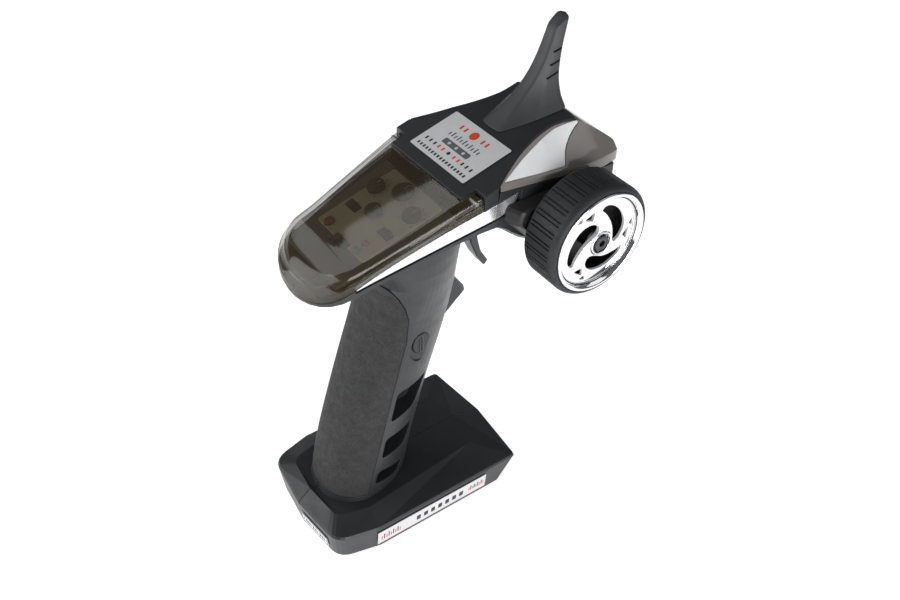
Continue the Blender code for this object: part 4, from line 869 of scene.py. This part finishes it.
def wheel_rim():
    centre, axis = (0, WHEEL_Y, WHEEL_Z), (1, 0, 0)
    out = WHEEL_OUT
    profile = [
        (out - 6.0, 19.6), (out - 6.0, 20.7), (out - 2.1, 20.7), (out - 2.1, RIM_R), (out - 0.8, RIM_R),
        (out - 0.3, RIM_R - 0.12), (out - 0.05, RIM_R - 0.45), (out, RIM_R - 0.8), (out - 0.08, RIM_R - 1.2),
        (out - 0.5, RIM_R - 1.7), (out - 1.5, RIM_R - 2.1), (out - 2.4, RIM_R - 2.6), (out - 2.75, 20.2),
        (out - 2.7, 19.4), (out - 2.45, 17.0), (out - 2.1, 14.0), (out - 1.7, 11.0), (out - 1.35, 9.0),
        (out - 1.0, 7.2), (out - 0.75, 6.2), (out - 0.8, 5.9), (out - 1.3, 5.6), (out - 3.2, 5.4),
        (out - 3.2, SHAFT_R + GAP), (out - 4.2, SHAFT_R + GAP),
        (out - 4.2, 5.6), (out - 2.6, 6.0), (out - 3.1, 11.0), (out - 3.3, 14.0), (out - 3.8, 19.6),
    ]
    rim = solid("rim_chrome", turned(profile, centre, axis, 120), CHROME)
    cuts = [rim_window(i) for i in range(3)]
    cuts += [rim_notch(i, corners) for i in range(3) for corners in NOTCHES]
    carve(rim, *[("DIFFERENCE", cut) for cut in cuts])
    # The walls of the windows take the darker chrome: painted shade along the window edges.
    rim.data.materials.append(PAINTED_SHADE_CHROME)
    for face in rim.data.polygons:
        radius = Vector((face.center.y / MM - WHEEL_Y, face.center.z / MM - WHEEL_Z)).length
        if abs(face.normal.x) < 0.3 and 5.8 < radius < 19.4:
            face.material_index = 1
    stand_for(rim, "wheel", "wheel_rim")


def rim_ring(name, profile, made_of, count=60):
    """A ring on the wheel's axis, from points of (distance in from the outer face, radius)."""
    points = [(WHEEL_OUT - depth, radius) for depth, radius in profile]
    return stand_for(solid(name, turned(points, (0, WHEEL_Y, WHEEL_Z), (1, 0, 0), count), made_of), "wheel")


def rim_details():
    """Black lines beside the lip as painted shade at its steps, the dark barrel and back plate, and the ring
    and nut of the hub.
    """
    # Thin black rings at the lip's steps: painted shade.
    for tag, radius, depth in (("inner", RIM_R - 2.45, 1.9), ("outer", RIM_R + 0.02, 0.9)):
        face = depth - 0.14
        line = [(depth, radius - 0.16), (face, radius - 0.12), (face, radius + 0.12), (depth, radius + 0.16)]
        rim_ring("rim_painted_shade_line_" + tag, line, BLACK, 96)
    width = WHEEL_OUT - WHEEL_IN - 0.6
    rim_ring("rim_barrel", [(width, 19.6), (width, 20.7), (6.1, 20.7), (6.1, 19.6)], BLACK)
    back = [(12.0, 3.4), (12.0, 19.2), (11.0, 19.2), (11.0, 5.2), (4.4, 5.2), (4.4, 3.4)]
    rim_ring("rim_back", back, BLACK)
    rim_ring("hub_ring", [(1.5, 4.75), (0.55, 4.7), (0.3, 4.95), (0.45, 5.3), (1.5, 5.35)], CHROME)
    rings = []
    for depth, radius in ((2.9, 4.0), (0.5, 4.0), (0.1, 3.6)):
        rings.append([Vector((WHEEL_OUT - depth, *rim_point(radius, pi / 3 * i))) for i in range(6)])
    bore = rod("X", (WHEEL_Y, WHEEL_Z), 1.5, WHEEL_OUT - 1.6, WHEEL_OUT + 1)
    stand_for(carve(solid("hex_nut", loft(rings), DARK_STEEL), ("DIFFERENCE", bore)), "wheel", "wheel_nut")


# ---------------------------------------------------------------- control plate


def plate_point(x, y, lift=0.0):
    normal = Vector((0, -DECK_SLOPE, 1)).normalized()
    return Vector((x, y, deck_z(y) - PLATE_DROP)) + normal * lift


def on_plate(bm, x, y, lift=0.0):
    """Tilts a body built about the origin and stands it on the control plate."""
    bmesh.ops.rotate(bm, verts=bm.verts, matrix=Matrix.Rotation(atan2(DECK_SLOPE, 1.0), 3, "X"))
    bmesh.ops.translate(bm, verts=bm.verts, vec=plate_point(x, y, lift))
    return bm


def slab(low, high, radius, top_chamfer=0.25):
    """A plate with rounded corners and a chamfered top edge."""
    rings = []
    for z, inset in ((low[2], 0.0), (high[2] - top_chamfer, 0.0), (high[2], top_chamfer)):
        r = radius - inset if radius > inset else 0.05
        corners = [
            (low[0] + inset, low[1] + inset, r), (high[0] - inset, low[1] + inset, r),
            (high[0] - inset, high[1] - inset, r), (low[0] + inset, high[1] - inset, r),
        ]
        rings.append([Vector((x, y, z)) for x, y in rounded(corners, 4)])
    return loft(rings)


KNOBS = {
    "knob_steering_trim": (12.6, 6.8, 4.2), "knob_throttle_trim": (-14.2, 6.2, 4.2),
    "knob_dual_rate": (-1.6, 12.0, 5.0), "knob_end_point": (-2.2, -2.6, 4.0),
}
SLOTS = ((12.2, -6.0, 4.2, 2.2), (-12.6, -6.4, 4.2, 2.2), (1.0, -21.4, 5.4, 2.6))
ROUND_HOLES = ((-12.4, -18.4, 2.5), (10.4, -14.6, 1.8), (10.4, -19.4, 1.8))
PANEL_RISE, KNOB_HEIGHT = 0.7, 3.3


def control_plate():
    rings = []
    for y in [-35.0, -32.5, -30.0] + steps(-28.0, 19.0, 4.0):
        half = head_half(y) - 4.6
        top = deck_z(y) - PLATE_DROP - max(0.0, -24.0 - y) ** 2 * 0.012
        corners = ((half, top - 1.6), (half, top), (-half, top), (-half, top - 1.6))
        rings.append([Vector((x, y, z)) for x, z in corners])
    plate = solid("plate_body", loft(rings), PLATE_EDGE)
    raised = slab((-18.4, -20.4, 0.02), (18.4, 20.4, PANEL_RISE), 1.6)
    panel = solid("plate_panel", on_plate(raised, 0, -1.5), PLATE)
    holes = [on_plate(rod("Z", (0, 0), 1.9, -4, 4), x, y) for x, y, _ in KNOBS.values()]
    holes += [on_plate(box((-a, -b, -4), (a, b, 4)), x, y) for x, y, a, b in SLOTS]
    holes += [on_plate(rod("Z", (0, 0), r, -4, 4), x, y) for x, y, r in ROUND_HOLES]
    for target in (plate, panel):
        carve(target, *[("DIFFERENCE", hole.copy()) for hole in holes])
    stand_for(plate, "chassis", "control_plate")
    stand_for(panel, "chassis")
    for i, (x, y, radius) in enumerate(KNOBS.values()):
        for k in range(-4, 5):
            turn = radians(90 - 33 * k)
            far = radius + (2.2 if k % 4 == 0 else 1.6)
            tick = slab((radius + 0.9, -0.12, PANEL_RISE), (far, 0.12, PANEL_RISE + 0.05), 0.05, 0.01)
            bmesh.ops.rotate(tick, verts=tick.verts, matrix=Matrix.Rotation(turn, 3, "Z"))
            stand_for(solid(f"dial_mark_{i + 1}_{k + 5}", on_plate(tick, x, y), INK), "chassis")


def knob(name, x, y, radius):
    """A fluted trim knob with a pointer groove."""
    rings = []
    levels = [(PANEL_RISE + GAP, 0.0), (KNOB_HEIGHT - 0.7, 0.05), (KNOB_HEIGHT - 0.25, 0.3)]
    levels += [(KNOB_HEIGHT, 0.75), (KNOB_HEIGHT, 1.5)]
    for z, inset in levels:
        ring = []
        for i in range(72):
            angle = 2 * pi * i / 72
            flute = 0.16 * max(0.0, cos(18 * angle)) if inset < 0.5 else 0.0
            ring.append(Vector((cos(angle), sin(angle), 0)) * (radius - inset - flute) + Vector((0, 0, z)))
        rings.append(ring)
    body = solid(name + "_cap", on_plate(loft(rings), x, y), BLACK)
    carve(body, ("DIFFERENCE", on_plate(box((-0.4, 0.8, KNOB_HEIGHT - 0.45), (0.4, radius + 1, 5.0)), x, y)))
    stand_for(body, name, name)
    high = PANEL_RISE + GAP + 0.1
    stem = turned([(-3.0, 0), (-3.0, 1.5), (high, 1.5), (high, 0)], (0, 0, 0), (0, 0, 1), 20)
    stand_for(solid(name + "_stem", on_plate(stem, x, y), STEEL), name)
    line = slab((-0.25, 1.0, KNOB_HEIGHT - 0.44), (0.25, radius - 0.8, KNOB_HEIGHT - 0.3), 0.1, 0.05)
    stand_for(solid(name + "_pointer", on_plate(line, x, y), STICKER), name)


# ---------------------------------------------------------------- labels and their generic graphics


def deck_place(x, y, lift):
    return Vector((x, y, deck_z(y) - deck_crown(x, y) + lift))


def deck_patch(name, outline, low, high, made_of):
    """A thin flat piece that follows the deck."""
    rings = [[deck_place(x, y, lift) for x, y in outline] for lift in (low, high)]
    return stand_for(solid(name, loft(rings), made_of), "chassis")


def bar(x, y, width, height):
    return [(x, y), (x + width, y), (x + width, y + height), (x, y + height)]


def disc(x, y, radius):
    return [(x + radius * cos(pi * i / 16), y + radius * sin(pi * i / 16)) for i in range(32)]


def scale(first, pitch, count, bottom, tall, short):
    """A plain scale of thin upright bars, as its short bars and the tall ones between them."""
    bars = [bar(first + pitch * i - 0.3, bottom, 0.6, tall if i % 2 else short) for i in range(count)]
    return bars[::2], bars[1::2]


def deck_label():
    """A bordered face with a made-up print: a disc, plain scales and a row of bars, even about the middle."""
    def outline(inset):
        half, rear, front = 20.0 - inset, 26.6 + inset, 52.2 - inset
        return rounded([(half, rear, 0.8), (half, front, 0.8), (-half, front, 0.8), (-half, rear, 0.8)], 4)

    edge = deck_patch("label_border", outline(0.0), 0.1, 0.3, INK)
    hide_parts("deck_label")
    deck_patch("label_face", outline(0.32), 0.12, 0.36, LABEL)
    short, tall = scale(-10.0, 2.0, 11, 40.6, 2.8, 1.8)
    ink = short + tall + [bar(x - 0.5, 32.6, 1.0, 1.8) for x in (-16, -13, -10, 10, 13, 16)]
    ink += [bar(-17.0 + 2.06 * i, 28.8, 1.0, 1.5) for i in range(17)] + [disc(0.0, 33.5, 0.9)]
    red = [disc(0.0, 47.0, 2.3)] + [bar(x - 0.6, 45.8, 1.2, 2.4) for x in (-9, -6, 6, 9)]
    red += [bar(x - 0.5, 32.6, 1.0, 1.8) for x in (-7, -4, 4, 7)]
    grey = [rounded([(-9.0, 36.0, 0.8), (9.0, 36.0, 0.8), (9.0, 39.0, 0.8), (-9.0, 39.0, 0.8)], 3)]
    for tag, outlines, made_of in (("ink", ink, INK), ("red", red, RED_INK), ("grey", grey, GREY_INK)):
        for i, shape in enumerate(outlines):
            deck_patch(f"label_{tag}_{i + 1}", shape, 0.34, 0.4, made_of)
    for i, x in enumerate((-5, 0, 5)):
        deck_patch(f"label_dot_{i + 1}", disc(x, 37.5, 0.8), 0.39, 0.43, STICKER)


def foot_side_place(y, z, lift):
    half = blend_curve(((LABEL_FROM, FOOT_HALF - FOOT_LEAN), (LABEL_TO, FOOT_HALF)), z)
    return Vector((half + lift, y, z))


def side_patch(name, outline, low, high, made_of):
    rings = [[foot_side_place(y, z, lift) for y, z in outline] for lift in (low, high)]
    return stand_for(solid(name, loft(rings), made_of), "chassis")


def side_label():
    """A row of equal blocks with a small plain scale at each end."""
    red, ink = scale(-28.6, 1.3, 9, 6.8, 4.2, 2.8)
    for i in range(7):
        ink.append(rounded([(y, z, 0.5) for y, z in bar(-8.4 + 4.3 * i, 7.0, 2.4, 3.6)], 2))
    short, tall = scale(23.6, 1.1, 9, 7.6, 3.4, 2.2)
    for tag, outlines, made_of in (("ink", ink + tall, INK), ("red", red + short, RED_INK)):
        for i, shape in enumerate(outlines):
            side_patch(f"side_{tag}_{i + 1}", shape, 0.58, 0.63, made_of)


def rear_face(x, z):
    """Place of the foot's rear face, which slopes away from the seam and leans in towards the top."""
    return FOOT_REAR + 3.2 / (FOOT_HALF - 5.0) * x + FOOT_LEAN * (LABEL_TO - z) / (LABEL_TO - LABEL_FROM)


def rear_label():
    """A thin frame and a row of plain marks on the label across the foot's rear."""
    marks = [bar(1.9, z, 20.8, 0.25) for z in (4.7, 10.65)]
    marks += [bar(x, 4.9, 0.25, 5.8) for x in (1.9, 22.45)]
    marks += [bar(3.2 + 1.9 * i, 6.6, 1.1 if i % 3 else 0.6, 2.2) for i in range(10)]
    for i, outline in enumerate(marks):
        rings = []
        for lift in (0.0, 0.06):
            rings.append([Vector((x, rear_face(x, z) - 0.62 - lift, z)) for x, z in outline])
        stand_for(solid(f"rear_mark_{i + 1}", loft(rings), INK), "chassis")


BUTTON_PLACE = (8.3, 106.0)
BUTTON_HALF, BUTTON_DEPTH, BUTTON_FACE = 6.0, 6.4, 19.2


def button_outline(grow):
    """A half moon whose straight side faces the front."""
    y, z = BUTTON_PLACE
    outline = [(y + grow, z - BUTTON_HALF - grow), (y + grow, z + BUTTON_HALF + grow)]
    for i in range(1, 24):
        angle = pi / 2 + pi * i / 24
        back = (BUTTON_DEPTH + grow) * power(cos(angle), 0.85)
        outline.append((y + back, z + (BUTTON_HALF + grow) * sin(angle)))
    return outline


def channel_button():
    """A domed button with two finger ribs, and a black ring in the gap round it as painted shade."""
    rings = []
    for x, inset in ((16.6, 0.0), (BUTTON_FACE - 0.7, 0.0), (BUTTON_FACE - 0.25, 0.25), (BUTTON_FACE, 0.7)):
        rings.append([Vector((x, y, z)) for y, z in button_outline(-inset)])
    button = solid("button_dome", loft(rings), CHARCOAL)
    y, z = BUTTON_PLACE
    cuts = []
    for rib in (y - 2.0, y - 3.4):
        cuts.append(box((BUTTON_FACE - 0.5, rib, z - 4.2), (BUTTON_FACE + 1, rib + 0.45, z + 4.2)))
    stand_for(carve(button, *[("DIFFERENCE", cut) for cut in cuts]), "channel_button", "channel_button")
    # A black ring down in the gap round the button: painted shade.
    ring = solid("button_gap_painted_shade", prism("X", button_outline(0.28), 17.0, BUTTON_FACE - 0.9), BLACK)
    stand_for(carve(ring, ("DIFFERENCE", prism("X", button_outline(0.1), 10.0, 25.0))), "chassis")


flip_cover()
top_cover()
nose_cap()
white_panels()
aerial_fin()
wheel_tyre()
wheel_rim()
rim_details()
control_plate()
for knob_name, knob_place in KNOBS.items():
    knob(knob_name, *knob_place)
deck_label()
side_label()
rear_label()
channel_button()


# ---------------------------------------------------------------- studio


CAMERA_PLACE = Vector((0.29395, -0.17702, 0.41348))
CAMERA_TURN, CAMERA_RISE, CAMERA_ROLL = 0.944394, 0.705435, 0.017623


def camera():
    level = Vector((sin(CAMERA_TURN), -cos(CAMERA_TURN), 0)) * cos(CAMERA_RISE)
    back = level + Vector((0, 0, sin(CAMERA_RISE)))
    right = (-back).cross(Vector((0, 0, 1))).normalized()
    up = right.cross(-back)
    across = cos(CAMERA_ROLL) * right + sin(CAMERA_ROLL) * up
    above = cos(CAMERA_ROLL) * up - sin(CAMERA_ROLL) * right
    lens = bpy.data.cameras.new("camera")
    lens.lens, lens.sensor_width = 40.0, 36.0
    made = bpy.data.objects.new("camera", lens)
    bpy.context.scene.collection.objects.link(made)
    made.matrix_world = Matrix.Translation(CAMERA_PLACE) @ Matrix((across, above, back)).transposed().to_4x4()
    bpy.context.scene.camera = made


def area(name, place, target, size, power, colour=(1, 1, 1)):
    light = bpy.data.lights.new(name, "AREA")
    light.shape, light.size, light.size_y = "RECTANGLE", *size
    light.energy, light.color = power, colour
    made = bpy.data.objects.new(name, light)
    made.location = place
    made.rotation_euler = (Vector(target) - Vector(place)).to_track_quat("-Z", "Y").to_euler()
    bpy.context.scene.collection.objects.link(made)


def card(name, place, along, size, radiance):
    """A level softbox, facing down, turned so that its length follows a direction."""
    light = bpy.data.lights.new(name, "AREA")
    light.shape, light.size, light.size_y = "RECTANGLE", size[1], size[0]
    light.energy = radiance * pi * size[0] * size[1]
    made = bpy.data.objects.new(name, light)
    made.location = place
    made.rotation_euler = (0, 0, atan2(along[1], along[0]))
    bpy.context.scene.collection.objects.link(made)


def floor():
    bm = bmesh.new()
    bmesh.ops.create_grid(bm, x_segments=2, y_segments=2, size=6.0)
    mesh = bpy.data.meshes.new("floor")
    bm.to_mesh(mesh)
    made = bpy.data.objects.new("floor", mesh)
    made.location.z = -0.0001
    bpy.context.scene.collection.objects.link(made)
    g = Graph("floor_paper", (0.96, 0.96, 0.96), 0.9)
    g.feed("Base Color", g.ramp(g.noise(3, 2), (0.3, (0.95, 0.95, 0.95)), (0.7, (0.97, 0.97, 0.97))))
    g.set("Emission Color", (1, 1, 1, 1))
    g.set("Emission Strength", 0.74)
    mesh.materials.append(g.material)


def studio():
    world = bpy.data.worlds.new("studio")
    world.use_nodes = True
    nodes, links = world.node_tree.nodes, world.node_tree.links
    background = nodes["Background"]
    background.inputs["Color"].default_value = (0.94, 0.96, 1.0, 1)
    seen, strength = nodes.new("ShaderNodeLightPath"), nodes.new("ShaderNodeMapRange")
    strength.inputs["To Min"].default_value, strength.inputs["To Max"].default_value = 0.12, 1.0
    links.new(seen.outputs["Is Camera Ray"], strength.inputs["Value"])
    links.new(strength.outputs["Result"], background.inputs["Strength"])
    bpy.context.scene.world = world
    card("cover_softbox", (-0.613, -0.107, 1.0), (0.568, 0.823), (0.40, 0.24), 1.6)
    card("tail_softbox", (-0.939, -0.423, 1.0), (0.957, -0.291), (0.60, 0.60), 1.5)
    area("high_softbox", (0.55, 0.75, 1.15), (0, 0.02, 0.12), (0.9, 0.9), 2)
    area("left_softbox", (-0.55, -1.15, 0.55), (0, 0, 0.12), (1.2, 1.3), 11)
    area("side_softbox", (1.3, -0.25, 0.34), (0, 0, 0.12), (1.1, 0.6), 12)
    bpy.context.scene.view_settings.view_transform = "Standard"


camera()
floor()
studio()
